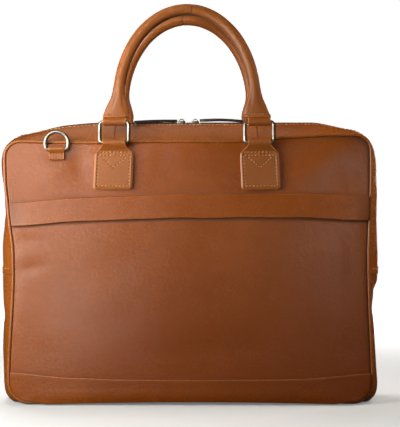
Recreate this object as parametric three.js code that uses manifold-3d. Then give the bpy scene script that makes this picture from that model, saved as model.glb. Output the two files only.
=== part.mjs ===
// Leather laptop bag: hollow leather body with a zipped top, a front pocket under a band, two rolled
// handles on metal rings and two strap rings. Millimetres, +Z up, the front faces -Y, and the origin
// lies under the middle of the base.
import * as THREE from "three";
import { mergeVertices } from "three/addons/utils/BufferGeometryUtils.js";
import Module from "manifold-3d";

const wasm = await Module();
wasm.setup();

// Body: the seam that joins each face to the gusset runs round a rectangle with round corners.
const SEAM_HALF_WIDTH = 192;
const SEAM_TOP = 283;
const SEAM_FOOT = 2.4;
const TOP_CORNER = 26;
const BASE_CORNER = 20;
const SIDE_WAIST = 2.5;
const FOOT_ARCH = 2.4;
const FOOT_ARCH_HALF = 165;
const HALF_DEPTH_FOOT = 40;
const HALF_DEPTH_TOP = 35;
const GUSSET_JOINT = 138;
const LEATHER = 2;
const POCKET_LEATHER = 1.8;
const GAP = 0.3;
const PIPING_RADIUS = 2.2;
const PANEL_INSET = PIPING_RADIUS + GAP;
const PANEL_SET_BACK = 1.6;
const PANEL_CROWN = 5.5;
const GUSSET_EDGE = 0.6;

// Front pocket, its band and the strip along the base.
const POCKET_FOOT = 18;
const POCKET_CROWN = 7;
const POCKET_PROUD = 0.6;
const BAND_LEATHER = 2.2;
const BAND_CLEARANCE = 0.8;
const MOUTH_SHARE = 0.45;
const STRIP_LIP = 0.6;
const STRIP_LIP_END = 150;

// Zip along the upper gusset.
const ZIP_SLOT = 3.4;
const ZIP_COIL = 2.6;
const ZIP_TAPE = 6.4;
const ZIP_TAPE_THICKNESS = 1.2;
const ZIP_SUNK = 0.6;
const SLIDER = { length: 9, width: 8, height: 2.7, bailLength: 4.6, bailWidth: 3, bailHeight: 3 };
const SLIDER_PLACES = { left: -10, right: 5 };
const PULL = { length: 47.5, width: 9, thickness: 3, rise: 1.8, lift: 1.2 };

// Handles, their rings and the chapes that carry them.
const HANDLE_OFFSET = -3.9;
const RING_SPREAD = 77.3;
const RING_WIRE = 1.9;
const RING_HALF_WIDTH = 15.4;
const RING_HEIGHT = 22.5;
const RING_CORNER = 4;
const RING_AXIS_OUT = 42.6;
const RING_AXIS_UP = 279;
const LOOP_BORE = 2.3;
const LOOP_RADIUS = 4.2;
const LOOP_HALF_LENGTH = 12;
const LOOP_SIDES = 12;
const CHAPE_THICKNESS = 4;
const HANDLE_LEAN = THREE.MathUtils.degToRad(7.7);
const ARCH_HALF_WIDTH = 72.9;
const ARCH_SPRING = 47;
const ARCH_TOP = 146.2;
const HANDLE_RADIUS = 6.25;

// Strap rings and their tabs.
const STRAP_RING_PLACE = -142.6;
const STRAP_AXIS_OUT = 39.9;
const STRAP_AXIS_UP = 272;
const STRAP_WIRE = 1.9;
const STRAP_RING = { halfBar: 8.4, halfWidth: 12.35, shoulder: 6.45 };
const TAB_HALF_WIDTH = 8.1;
const TAB_FOOT = 261;
const TAB_THICKNESS = 3.6;
const TAB_LOOP_RADIUS = 4;

// How far the gusset swells past the seam. along: share of the upper gusset's length, from the left
// joint over the top to the right joint. swell: at mid depth. power: 2 is a round section, 8 a flat one.
const UPPER_SWELL = [
  { along: 0.0, swell: 16, power: 2.4 },
  { along: 0.06, swell: 15.8, power: 2.4 },
  { along: 0.12, swell: 11.6, power: 2.4 },
  { along: 0.17, swell: 15.5, power: 2.4 },
  { along: 0.2, swell: 17, power: 2.4 },
  { along: 0.215, swell: 15, power: 2.4 },
  { along: 0.23, swell: 9.8, power: 2.3 },
  { along: 0.245, swell: 9.2, power: 2.2 },
  { along: 0.3, swell: 17, power: 1.8 },
  { along: 0.36, swell: 20, power: 1.7 },
  { along: 0.5, swell: 20, power: 1.7 },
  { along: 0.7, swell: 20, power: 1.7 },
  { along: 0.735, swell: 17.5, power: 1.8 },
  { along: 0.76, swell: 14, power: 2.2 },
  { along: 0.79, swell: 15, power: 2.4 },
  { along: 0.82, swell: 12, power: 2.4 },
  { along: 0.88, swell: 13.2, power: 2.4 },
  { along: 1.0, swell: 14.8, power: 2.4 },
];

// The same for the lower gusset, from the right joint under the base to the left joint.
const LOWER_SWELL = [
  { along: 0.0, swell: 14.3, power: 2.4 },
  { along: 0.03, swell: 8, power: 2.4 },
  { along: 0.06, swell: 7, power: 2.4 },
  { along: 0.1, swell: 8.2, power: 2.4 },
  { along: 0.15, swell: 10.6, power: 2.4 },
  { along: 0.185, swell: 12, power: 2.6 },
  { along: 0.196, swell: 13.5, power: 3 },
  { along: 0.208, swell: 10.8, power: 3.6 },
  { along: 0.22, swell: 2.9, power: 5 },
  { along: 0.232, swell: 1.8, power: 8 },
  { along: 0.768, swell: 1.8, power: 8 },
  { along: 0.78, swell: 2.9, power: 5 },
  { along: 0.792, swell: 10.8, power: 3.6 },
  { along: 0.804, swell: 13, power: 3 },
  { along: 0.815, swell: 12, power: 2.6 },
  { along: 0.87, swell: 13.4, power: 2.4 },
  { along: 0.93, swell: 13.6, power: 2.4 },
  { along: 1.0, swell: 16, power: 2.4 },
];

// Edges of the pocket band and the top edge of the base strip, across the front from left to right.
const FRONT_LINES = [
  { across: -1.0, bandTop: 215, bandFoot: 190, stripTop: 34 },
  { across: -0.7, bandTop: 219.5, bandFoot: 194.5, stripTop: 29.5 },
  { across: -0.35, bandTop: 222.4, bandFoot: 197.2, stripTop: 27.3 },
  { across: 0.0, bandTop: 224.2, bandFoot: 198.8, stripTop: 26.7 },
  { across: 0.6, bandTop: 224.4, bandFoot: 199.4, stripTop: 27.6 },
  { across: 1.0, bandTop: 222.4, bandFoot: 196.2, stripTop: 33 },
];

// Swell of the pocket's face up its height, as a share of POCKET_CROWN.
const POCKET_FULLNESS = [
  { up: 0, share: 0 },
  { up: 18, share: 0.6 },
  { up: 90, share: 1 },
  { up: 150, share: 1 },
  { up: 230, share: 0.82 },
];

// Outline of a chape up its height: half its width.
const CHAPE_OUTLINE = [
  { up: 229, half: 19.2 },
  { up: 231, half: 20.8 },
  { up: 250, half: 20.8 },
  { up: 267.5, half: 20.4 },
  { up: 270, half: 18 },
  { up: 275, half: 12 },
  { up: 277.5, half: 12 },
];

// Section of a handle along its length, from the ring bar: half its width and half its thickness.
const HANDLE_SECTIONS = [
  { along: 0, width: 12, thickness: 4 },
  { along: 5.5, width: 12.5, thickness: 3.7 },
  { along: 8, width: 13.4, thickness: 3.5 },
  { along: 14, width: 12.8, thickness: 4 },
  { along: 21, width: 11.2, thickness: 4.9 },
  { along: 28, width: 9.2, thickness: 5.7 },
  { along: 35, width: 7.6, thickness: 6.1 },
  { along: 43, width: HANDLE_RADIUS, thickness: HANDLE_RADIUS },
];

const leather = new THREE.MeshStandardMaterial({ color: 0xa3602e, roughness: 0.5, metalness: 0 });
const darkLeather = new THREE.MeshStandardMaterial({ color: 0x241f1d, roughness: 0.55, metalness: 0 });
const zipCloth = new THREE.MeshStandardMaterial({ color: 0x2b2422, roughness: 0.8, metalness: 0 });
const nickel = new THREE.MeshStandardMaterial({ color: 0xc6c1b6, roughness: 0.28, metalness: 1 });

const { clamp, lerp } = THREE.MathUtils;

// The value of a column between the two rows that hold the place asked for.
function readTable(rows, key, column, place) {
  const next = Math.max(1, rows.findIndex((row) => row[key] >= place));
  const high = place >= rows.at(-1)[key] ? rows.at(-1) : rows[next];
  const low = place >= rows.at(-1)[key] ? rows.at(-1) : rows[next - 1];
  const share = high === low ? 0 : clamp((place - low[key]) / (high[key] - low[key]), 0, 1);
  return lerp(low[column], high[column], THREE.MathUtils.smoothstep(share, 0, 1));
}

// Evenly spaced numbers from one value to another, both included.
function spaced(from, to, steps) {
  return Array.from({ length: steps + 1 }, (_, i) => lerp(from, to, i / steps));
}

// A closed geometry from corner points and quads, turned to face out.
function closedGeometry(points, quads) {
  const corners = quads.flatMap(([a, b, c, d]) => [a, b, c, a, c, d]);
  let volume = 0;
  for (let i = 0; i < corners.length; i += 3) {
    const [a, b, c] = [points[corners[i]], points[corners[i + 1]], points[corners[i + 2]]];
    volume += a.dot(b.clone().cross(c));
  }
  if (volume < 0) {
    corners.reverse();
  }
  const geometry = new THREE.BufferGeometry().setFromPoints(points);
  geometry.setIndex(corners);
  geometry.computeVertexNormals();
  return geometry;
}

// A leather wall between an outer and an inner grid of points.
function wall(outer, inner) {
  const rows = outer.length;
  const columns = outer[0].length;
  const back = rows * columns;
  const at = (i, j) => i * columns + j;
  const quads = [];
  for (let i = 0; i + 1 < rows; i++) {
    for (let j = 0; j + 1 < columns; j++) {
      const face = [at(i, j), at(i, j + 1), at(i + 1, j + 1), at(i + 1, j)];
      quads.push(face, face.map((corner) => corner + back).reverse());
    }
    quads.push([at(i, 0), at(i + 1, 0), back + at(i + 1, 0), back + at(i, 0)]);
    const last = columns - 1;
    quads.push([at(i + 1, last), at(i, last), back + at(i, last), back + at(i + 1, last)]);
  }
  for (let j = 0; j + 1 < columns; j++) {
    quads.push([at(0, j + 1), at(0, j), back + at(0, j), back + at(0, j + 1)]);
    const last = rows - 1;
    quads.push([at(last, j), at(last, j + 1), back + at(last, j + 1), back + at(last, j)]);
  }
  return closedGeometry([...outer.flat(), ...inner.flat()], quads);
}

// A solid through convex sections of an even count of corners, joined end to end or capped.
function loft(sections, closed) {
  const sides = sections[0].length;
  const quads = [];
  const spans = closed ? sections.length : sections.length - 1;
  for (let i = 0; i < spans; i++) {
    const here = i * sides;
    const there = ((i + 1) % sections.length) * sides;
    for (let k = 0; k < sides; k++) {
      const next = (k + 1) % sides;
      quads.push([here + k, here + next, there + next, there + k]);
    }
  }
  if (!closed) {
    const end = (sections.length - 1) * sides;
    for (let k = 1; k + 2 < sides; k += 2) {
      quads.push([0, k + 2, k + 1, k]);
      quads.push([end, end + k, end + k + 1, end + k + 2]);
    }
  }
  return closedGeometry(sections.flat(), quads);
}

// A round wire along a closed loop of points that lies flat in X and Z.
function wireLoop(points, radius, sides) {
  const count = points.length;
  const sections = points.map((point, i) => {
    const before = points[(i + count - 1) % count];
    const after = points[(i + 1) % count];
    const out = new THREE.Vector2(after.y - before.y, before.x - after.x).normalize();
    return spaced(0, 2 * Math.PI, sides).slice(0, sides).map((turn) => {
      const across = radius * Math.cos(turn);
      return new THREE.Vector3(point.x + out.x * across, radius * Math.sin(turn), point.y + out.y * across);
    });
  });
  return loft(sections, true);
}

// The exact solid of a closed geometry, for joining and cutting.
function solidOf(geometry) {
  const bare = geometry.clone();
  const extra = Object.keys(bare.attributes).filter((name) => name !== "position");
  extra.forEach((name) => bare.deleteAttribute(name));
  const merged = mergeVertices(bare, 1e-4);
  const vertProperties = merged.attributes.position.array;
  return new wasm.Manifold(new wasm.Mesh({ numProp: 3, vertProperties, triVerts: merged.index.array }));
}

// The exact solid of a round bar along X, which shapes a leather fold or its bore.
function barSolid(radius, halfLength, x, y, z) {
  const geometry = new THREE.CylinderGeometry(radius, radius, 2 * halfLength, LOOP_SIDES);
  return solidOf(geometry.rotateZ(Math.PI / 2).translate(x, y, z));
}

function geometryOf(solid) {
  const mesh = solid.getMesh();
  const geometry = new THREE.BufferGeometry();
  geometry.setAttribute("position", new THREE.BufferAttribute(mesh.vertProperties, 3));
  geometry.setIndex(new THREE.BufferAttribute(mesh.triVerts, 1));
  geometry.computeVertexNormals();
  return geometry;
}

// How far the seam along the base lifts between the corners. The lift fades out up the face.
function footLift(x, z = 0) {
  const across = Math.min(Math.abs(x) / FOOT_ARCH_HALF, 1);
  return FOOT_ARCH * (1 - across ** 2) * (1 - THREE.MathUtils.smoothstep(z, 0, POCKET_FOOT * 3));
}

// Half the depth between the two seams, which narrows towards the top.
function halfDepth(z) {
  return lerp(HALF_DEPTH_FOOT, HALF_DEPTH_TOP, z / SEAM_TOP);
}

// The seam's distance from the middle at the sides, with the slight waist of the soft sides.
function seamHalfWidth(z) {
  const foot = SEAM_FOOT + BASE_CORNER;
  const head = SEAM_TOP - TOP_CORNER;
  const share = clamp((z - foot) / (head - foot), 0, 1);
  return SEAM_HALF_WIDTH - SIDE_WAIST * Math.sin(Math.PI * share) ** 2;
}

// Half the width of a face at a height, inside the seam and round its corners.
function faceHalfWidth(z) {
  const upper = z > SEAM_TOP / 2;
  const corner = (upper ? TOP_CORNER : BASE_CORNER) - PANEL_INSET;
  const intoTop = z - (SEAM_TOP - PANEL_INSET - corner);
  const intoFoot = SEAM_FOOT + PANEL_INSET + corner - z;
  const into = Math.max(upper ? intoTop : intoFoot, 0);
  return seamHalfWidth(z) - PANEL_INSET - corner + Math.sqrt(Math.max(corner ** 2 - into ** 2, 0));
}

// How far a face swells between its edges, as a share: 0 at the edges and 1 in the middle.
function faceFullness(x, z) {
  const half = (SEAM_TOP - SEAM_FOOT) / 2 - PANEL_INSET;
  const up = (z - (SEAM_TOP + SEAM_FOOT) / 2) / half;
  const across = x / faceHalfWidth(z);
  return Math.max(0, 1 - across ** 6) * Math.max(0, 1 - up ** 8);
}

// Distance of a plain face's outer side from the middle of the bag.
function plainFace(x, z) {
  return halfDepth(z) - PANEL_SET_BACK + PANEL_CROWN * faceFullness(x, z);
}

function bandEdge(column, x) {
  return readTable(FRONT_LINES, "across", column, x / faceHalfWidth(GUSSET_JOINT));
}

// Height of the pocket's open edge, behind the band.
function pocketMouth(x) {
  return lerp(bandEdge("bandFoot", x), bandEdge("bandTop", x), MOUTH_SHARE);
}

// The front face's outer side: it lies further back behind the pocket than above it.
function frontFace(x, z) {
  const mouth = pocketMouth(x);
  const above = THREE.MathUtils.smoothstep(z, mouth - 14, mouth);
  return halfDepth(z) - PANEL_SET_BACK + PANEL_CROWN * faceFullness(x, z) * above;
}

function pocketFace(x, z) {
  const across = clamp(Math.abs(x) / faceHalfWidth(z), 0, 1);
  const fullness = (1 - across ** 6) * readTable(POCKET_FULLNESS, "up", "share", z);
  return halfDepth(z) + POCKET_PROUD + POCKET_CROWN * fullness;
}

// Heights of the rows of a whole face, closer together round its corners.
function faceRows() {
  const foot = BASE_CORNER - PANEL_INSET;
  const head = TOP_CORNER - PANEL_INSET;
  const low = SEAM_FOOT + PANEL_INSET + foot;
  const high = SEAM_TOP - PANEL_INSET - head;
  const turns = spaced(0, Math.PI / 2, 3);
  return [
    ...turns.map((turn) => low - foot * Math.cos(turn)),
    ...spaced(low, high, 8).slice(1, -1),
    ...turns.map((turn) => high + head * Math.sin(turn)),
  ];
}

const FACE_COLUMNS = [-1, -0.96, -0.84, -0.64, -0.34, 0, 0.34, 0.64, 0.84, 0.96, 1];

// A face of the bag, front (-1) or back (+1).
function facePanel(side, surface) {
  const grid = (depth) => faceRows().map((z) => FACE_COLUMNS.map((share) => {
    const x = share * faceHalfWidth(z);
    return new THREE.Vector3(x, side * (surface(x, z) - depth), z + footLift(x, z));
  }));
  return wall(grid(0), grid(LEATHER));
}

function pocketPanel() {
  const grid = (depth) => spaced(0, 1, 8).map((share) => FACE_COLUMNS.map((column) => {
    const z = lerp(POCKET_FOOT, pocketMouth(column * SEAM_HALF_WIDTH), share);
    const x = column * faceHalfWidth(z);
    return new THREE.Vector3(x, depth - pocketFace(x, z), z);
  }));
  return wall(grid(0), grid(POCKET_LEATHER));
}

// The band hangs from the front face and stands clear of the pocket that it covers.
function pocketBand() {
  const grid = (depth) => spaced(0, 1, 4).map((share) => FACE_COLUMNS.map((column) => {
    const place = column * SEAM_HALF_WIDTH;
    const head = bandEdge("bandTop", place);
    const z = lerp(head, bandEdge("bandFoot", place), share);
    const x = column * faceHalfWidth(z);
    const over = THREE.MathUtils.smoothstep(head - z, 0, head - pocketMouth(place) - 1.5);
    const inner = lerp(frontFace(x, z) + GAP, pocketFace(x, z) + BAND_CLEARANCE, over);
    return new THREE.Vector3(x, -(inner + depth), z);
  }));
  return wall(grid(BAND_LEATHER), grid(0));
}

// The strip along the base laps over the pocket's foot and rolls over the seam between the corners.
function baseStrip() {
  const corner = BASE_CORNER - PANEL_INSET;
  const edge = SEAM_HALF_WIDTH - PANEL_INSET;
  const turns = spaced(0, Math.PI / 2, 4).map((turn) => edge - corner + corner * Math.sin(turn));
  const right = [...spaced(0, edge - corner, 5).slice(1), ...turns.slice(1)];
  const places = [...right.map((x) => -x).reverse(), 0, ...right];
  const grid = (depth) => places.map((x) => {
    const into = Math.max(Math.abs(x) - (edge - corner), 0);
    const lip = 1 - THREE.MathUtils.smoothstep(Math.abs(x), STRIP_LIP_END, edge - corner);
    const outline = SEAM_FOOT + PANEL_INSET + corner - Math.sqrt(Math.max(corner ** 2 - into ** 2, 0));
    const foot = lerp(outline, STRIP_LIP, lip) + footLift(x);
    const clear = 1 - THREE.MathUtils.smoothstep(Math.abs(x), edge - corner, edge);
    const head = bandEdge("stripTop", x);
    return spaced(0, 1, 4).map((share) => {
      const z = lerp(foot, head, share);
      const low = halfDepth(z) + lerp(POCKET_PROUD + GAP, PIPING_RADIUS + 2 * GAP, clear);
      const lapped = pocketFace(x, Math.max(z, POCKET_FOOT)) + 2 * GAP;
      const inner = lerp(low, lapped, THREE.MathUtils.smoothstep(z, foot, Math.max(POCKET_FOOT - 2, foot)));
      return new THREE.Vector3(x, -(inner + depth), z);
    });
  });
  return wall(grid(LEATHER), grid(0));
}

// Points along the seam with their outward direction, over the top or under the base.
function seamStations(upper) {
  const corner = upper ? TOP_CORNER : BASE_CORNER;
  const edge = upper ? SEAM_TOP : SEAM_FOOT;
  const sign = upper ? 1 : -1;
  const joint = GUSSET_JOINT + sign * GAP / 2;
  const middle = SEAM_HALF_WIDTH - corner;
  const spring = edge - sign * corner;
  const lift = (x) => (upper ? 0 : footLift(x));
  const half = [];
  spaced(joint, spring, 6).forEach((z) => half.push({ x: -seamHalfWidth(z), z, nx: -1, nz: 0 }));
  spaced(0, Math.PI / 2, 4).slice(1).forEach((turn) => {
    const nx = -Math.cos(turn);
    const nz = sign * Math.sin(turn);
    half.push({ x: -middle + corner * nx, z: spring + corner * nz, nx, nz });
  });
  spaced(-middle, 0, upper ? 7 : 4).slice(1, -1).forEach((x) => {
    half.push({ x, z: edge + lift(x), nx: 0, nz: sign });
  });
  const mirrored = half.map((s) => ({ ...s, x: -s.x, nx: -s.nx })).reverse();
  const left = [...half, { x: 0, z: edge + lift(0), nx: 0, nz: sign }, ...mirrored];
  const stations = upper ? left : left.reverse();
  let run = 0;
  stations.forEach((s, i) => {
    run += i ? Math.hypot(s.x - stations[i - 1].x, s.z - stations[i - 1].z) : 0;
    s.run = run;
  });
  const swells = upper ? UPPER_SWELL : LOWER_SWELL;
  stations.forEach((s) => {
    s.swell = readTable(swells, "along", "swell", s.run / run) + (s.nx === 0 ? lift(s.x) : 0);
    s.power = readTable(swells, "along", "power", s.run / run);
  });
  return stations;
}

const UPPER_STATIONS = seamStations(true);
const LOWER_STATIONS = seamStations(false);

// Outer side of the gusset, measured outwards from the seam at a depth from the middle.
function gussetOut(station, y) {
  const half = halfDepth(station.z) - PIPING_RADIUS - GAP;
  return GUSSET_EDGE + station.swell * (1 - Math.abs(y / half) ** station.power);
}

function gussetPoint(station, y, out) {
  return new THREE.Vector3(station.x + station.nx * out, y, station.z + station.nz * out);
}

// A stretch of gusset between two shares of its depth, where a share of 1 is the back seam.
function gusset(stations, shares, slot) {
  const grid = (depth) => stations.map((station) => shares.map((share) => {
    const half = halfDepth(station.z) - PIPING_RADIUS - GAP;
    const y = Math.abs(share) === slot ? Math.sign(share) * ZIP_SLOT : share * half;
    return gussetPoint(station, y, gussetOut(station, y) - depth);
  }));
  return wall(grid(0), grid(LEATHER));
}

// The zip: a coil between the gusset's two edges, on a tape that lies under them.
function zip() {
  const places = [-ZIP_TAPE, -ZIP_SLOT + GAP, -ZIP_COIL, ZIP_COIL, ZIP_SLOT - GAP, ZIP_TAPE];
  const tape = (station, y) => gussetOut(station, Math.max(Math.abs(y), ZIP_SLOT)) - LEATHER - 2 * GAP;
  const outer = UPPER_STATIONS.map((station) => places.map((y) => {
    const out = Math.abs(y) <= ZIP_COIL ? gussetOut(station, 0) - ZIP_SUNK : tape(station, y);
    return gussetPoint(station, y, out);
  }));
  const inner = UPPER_STATIONS.map((station) => places.map((y) => {
    return gussetPoint(station, y, tape(station, y) - ZIP_TAPE_THICKNESS);
  }));
  return wall(outer, inner);
}

function piping(side) {
  const sides = 6;
  const sections = [...UPPER_STATIONS, ...LOWER_STATIONS].map((station) => {
    return spaced(0, 2 * Math.PI, sides).slice(0, sides).map((turn) => {
      const y = side * halfDepth(station.z) + PIPING_RADIUS * Math.sin(turn);
      return gussetPoint(station, y, PIPING_RADIUS * Math.cos(turn));
    });
  });
  return loft(sections, true);
}

// Height of the zip's crest above the base along the flat top of the bag.
function crestHeight(x) {
  const station = UPPER_STATIONS.reduce((best, s) => (Math.abs(s.x - x) < Math.abs(best.x - x) ? s : best));
  return station.z + gussetOut(station, 0);
}

function zipSlider() {
  const body = new THREE.BoxGeometry(SLIDER.length, SLIDER.width, SLIDER.height);
  body.translate(0, 0, SLIDER.height / 2);
  const bail = new THREE.BoxGeometry(SLIDER.bailLength, SLIDER.bailWidth, SLIDER.bailHeight);
  bail.translate(0, 0, SLIDER.height + SLIDER.bailHeight / 2 - GAP);
  return geometryOf(solidOf(body).add(solidOf(bail)));
}

// A zip pull: a doubled leather strap that arches away from its slider along +X.
function zipPull() {
  const grid = (lift) => spaced(0, 1, 8).map((share) => [-1, 1].map((edge) => {
    const end = Math.min(1, 0.7 + 2 * Math.min(share, 1 - share));
    const z = PULL.lift * (1 - share) + PULL.rise * Math.sin(Math.PI * share) + lift;
    return new THREE.Vector3(share * PULL.length, edge * end * PULL.width / 2, z);
  }));
  return wall(grid(PULL.thickness), grid(0));
}

// A chape: a doubled leather pad sewn to the face, whose fold holds the ring's lower bar.
function chape(place) {
  const pad = (depth) => CHAPE_OUTLINE.map((row) => spaced(-1, 1, 4).map((share) => {
    const onFace = plainFace(place + share * row.half, row.up) + GAP;
    const atLoop = RING_AXIS_OUT - CHAPE_THICKNESS / 2;
    const inner = Math.max(onFace, lerp(onFace, atLoop, THREE.MathUtils.smoothstep(row.up, 258, 276)));
    return new THREE.Vector3(place + share * row.half, -(inner + depth), row.up);
  }));
  const loop = barSolid(LOOP_RADIUS, LOOP_HALF_LENGTH, place, -RING_AXIS_OUT, RING_AXIS_UP);
  const bore = barSolid(LOOP_BORE, 2 * LOOP_HALF_LENGTH, place, -RING_AXIS_OUT, RING_AXIS_UP);
  return geometryOf(solidOf(wall(pad(CHAPE_THICKNESS), pad(0))).add(loop).subtract(bore));
}

// A rectangular ring that stands on its lower bar, which lies along X at the origin.
function handleRing() {
  const outline = new THREE.Path();
  const straight = RING_HALF_WIDTH - RING_CORNER;
  const low = RING_CORNER;
  const high = RING_HEIGHT - RING_CORNER;
  outline.absarc(straight, low, RING_CORNER, -Math.PI / 2, 0);
  outline.absarc(straight, high, RING_CORNER, 0, Math.PI / 2);
  outline.absarc(-straight, high, RING_CORNER, Math.PI / 2, Math.PI);
  outline.absarc(-straight, low, RING_CORNER, Math.PI, 1.5 * Math.PI);
  return wireLoop(outline.getPoints(2), RING_WIRE, 6);
}

// Half the spread of a handle's middle line at a height above the rings' lower bars.
function handleSpread(up) {
  const leg = clamp((up - RING_HEIGHT) / (ARCH_SPRING - RING_HEIGHT), 0, 1);
  const arch = clamp((up - ARCH_SPRING) / (ARCH_TOP - ARCH_SPRING), 0, 1);
  return lerp(RING_SPREAD, ARCH_HALF_WIDTH, Math.sin(leg * Math.PI / 2)) * Math.sqrt(1 - arch ** 2);
}

// Middle line of a handle from one ring's upper bar to the other's, with the distance from its end.
function handleLine() {
  const reach = HANDLE_SECTIONS.at(-1).along;
  const rise = ARCH_TOP - ARCH_SPRING;
  const start = Math.asin((RING_HEIGHT + reach - ARCH_SPRING) / rise);
  const half = HANDLE_SECTIONS.map((row) => {
    const z = RING_HEIGHT + row.along;
    return { x: -handleSpread(z), z, along: row.along };
  });
  spaced(start, Math.PI / 2, 7).slice(1, -1).forEach((turn) => {
    const z = ARCH_SPRING + rise * Math.sin(turn);
    half.push({ x: -handleSpread(z), z, along: reach });
  });
  const mirrored = half.map((point) => ({ ...point, x: -point.x })).reverse();
  return [...half, { x: 0, z: ARCH_TOP, along: reach }, ...mirrored];
}

// A rolled handle, flat where each end folds round a ring's upper bar.
function handle() {
  const line = handleLine();
  const sides = 10;
  const sections = line.map((point, i) => {
    const before = line[Math.max(i - 1, 0)];
    const after = line[Math.min(i + 1, line.length - 1)];
    const flat = point.along === 0;
    const out = new THREE.Vector2(after.z - before.z, before.x - after.x).normalize();
    const width = readTable(HANDLE_SECTIONS, "along", "width", point.along);
    const thickness = readTable(HANDLE_SECTIONS, "along", "thickness", point.along);
    return spaced(0, 2 * Math.PI, sides).slice(0, sides).map((turn) => {
      const across = width * Math.cos(turn);
      const x = point.x + (flat ? Math.sign(out.x) : out.x) * across;
      return new THREE.Vector3(x, thickness * Math.sin(turn), point.z + (flat ? 0 : out.y * across));
    });
  });
  let solid = solidOf(loft(sections, false));
  for (const place of [-RING_SPREAD, RING_SPREAD]) {
    const loop = barSolid(LOOP_RADIUS, LOOP_HALF_LENGTH, place, 0, RING_HEIGHT);
    const bore = barSolid(LOOP_BORE, 2 * LOOP_HALF_LENGTH, place, 0, RING_HEIGHT);
    solid = solid.add(loop).subtract(bore);
  }
  return geometryOf(solid);
}

// A strap ring of D shape that stands on its straight bar, which lies along X at the origin.
function strapRing() {
  const { halfBar, halfWidth, shoulder } = STRAP_RING;
  const outline = new THREE.Path();
  outline.moveTo(-halfBar, 0);
  outline.lineTo(halfBar, 0);
  outline.quadraticCurveTo(halfWidth - 1, 0, halfWidth - 0.4, shoulder / 2);
  outline.absarc(0, shoulder, halfWidth, 0, Math.PI);
  outline.quadraticCurveTo(1 - halfWidth, 0, -halfBar, 0);
  const points = outline.getPoints(5).slice(0, -1);
  const apart = points.filter((point, i) => i === 0 || point.distanceTo(points[i - 1]) > STRAP_WIRE / 4);
  return wireLoop(apart, STRAP_WIRE, 6);
}

// The leather tab that holds a strap ring's bar against the top of the face.
function strapTab(place) {
  const rows = [TAB_FOOT, TAB_FOOT + 4, TAB_FOOT + 8, STRAP_AXIS_UP - 1];
  const pad = (depth) => rows.map((up) => [-1, 0, 1].map((share) => {
    const onFace = plainFace(place + share * TAB_HALF_WIDTH, up) + GAP;
    const atLoop = STRAP_AXIS_OUT - TAB_THICKNESS / 2;
    const inner = lerp(onFace, atLoop, THREE.MathUtils.smoothstep(up, TAB_FOOT, STRAP_AXIS_UP));
    return new THREE.Vector3(place + share * TAB_HALF_WIDTH, -(Math.max(inner, onFace) + depth), up);
  }));
  const loop = barSolid(TAB_LOOP_RADIUS, TAB_HALF_WIDTH, place, -STRAP_AXIS_OUT, STRAP_AXIS_UP);
  const bore = barSolid(LOOP_BORE, 2 * TAB_HALF_WIDTH, place, -STRAP_AXIS_OUT, STRAP_AXIS_UP);
  return geometryOf(solidOf(wall(pad(TAB_THICKNESS), pad(0))).add(loop).subtract(bore));
}

function piece(name, geometry, material) {
  const mesh = new THREE.Mesh(geometry, material);
  mesh.name = name;
  return mesh;
}

// The carrying parts of one face. The back has the same set, turned half round, with its handle in
// line with the front one.
function carryingParts(face, handlePlace) {
  const group = new THREE.Group();
  const swing = new THREE.Group();
  swing.position.set(handlePlace, -RING_AXIS_OUT, RING_AXIS_UP);
  swing.rotation.x = -HANDLE_LEAN;
  for (const [side, sign] of [["left", -1], ["right", 1]]) {
    group.add(piece(`${face}_chape_${side}`, chape(handlePlace + sign * RING_SPREAD), leather));
    const ring = piece(`${face}_ring_${side}`, handleRing(), nickel);
    ring.position.x = sign * RING_SPREAD;
    swing.add(ring);
  }
  swing.add(piece(`${face}_handle`, handle(), leather));
  const strap = piece(`${face}_strap_ring`, strapRing(), nickel);
  strap.position.set(STRAP_RING_PLACE, -STRAP_AXIS_OUT, STRAP_AXIS_UP);
  group.add(swing, strap, piece(`${face}_strap_tab`, strapTab(STRAP_RING_PLACE), leather));
  return group;
}

// The two sliders meet at the middle of the top, with their pulls laid outwards.
function zipEnd(side, sign) {
  const group = new THREE.Group();
  const place = SLIDER_PLACES[side];
  group.position.set(place, 0, crestHeight(place) + GAP);
  const pull = piece(`zip_pull_${side}`, zipPull(), darkLeather);
  pull.position.set(sign * (SLIDER.length / 2 + GAP), 0, GAP);
  pull.rotation.z = sign < 0 ? Math.PI : 0;
  group.add(piece(`zip_slider_${side}`, zipSlider(), nickel), pull);
  return group;
}

const bag = new THREE.Group();
bag.add(
  piece("front_panel", facePanel(-1, frontFace), leather),
  piece("back_panel", facePanel(1, plainFace), leather),
  piece("pocket_panel", pocketPanel(), leather),
  piece("pocket_band", pocketBand(), leather),
  piece("base_strip", baseStrip(), leather),
  piece("top_gusset_front", gusset(UPPER_STATIONS, [-1, -0.82, -0.58, -0.3, -0.1], 0.1), leather),
  piece("top_gusset_back", gusset(UPPER_STATIONS, [0.1, 0.3, 0.58, 0.82, 1], 0.1), leather),
  piece("lower_gusset", gusset(LOWER_STATIONS, [-1, -0.88, -0.62, -0.25, 0.25, 0.62, 0.88, 1], 0), leather),
  piece("zip", zip(), zipCloth),
  piece("front_piping", piping(-1), leather),
  piece("back_piping", piping(1), leather),
  zipEnd("left", -1),
  zipEnd("right", 1),
);
const back = carryingParts("back", -HANDLE_OFFSET);
back.rotation.z = Math.PI;
bag.add(carryingParts("front", HANDLE_OFFSET), back);

export default bag;
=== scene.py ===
"""Looks of the leather laptop bag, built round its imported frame.

Shapes are worked out in millimetres, with +Z up and the front towards -Y, and become metres when a
mesh is made. Each leather piece is a closed wall along the bag's seams, faces and gussets, with its
folds, grooves and stitches as geometry.
"""

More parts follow.
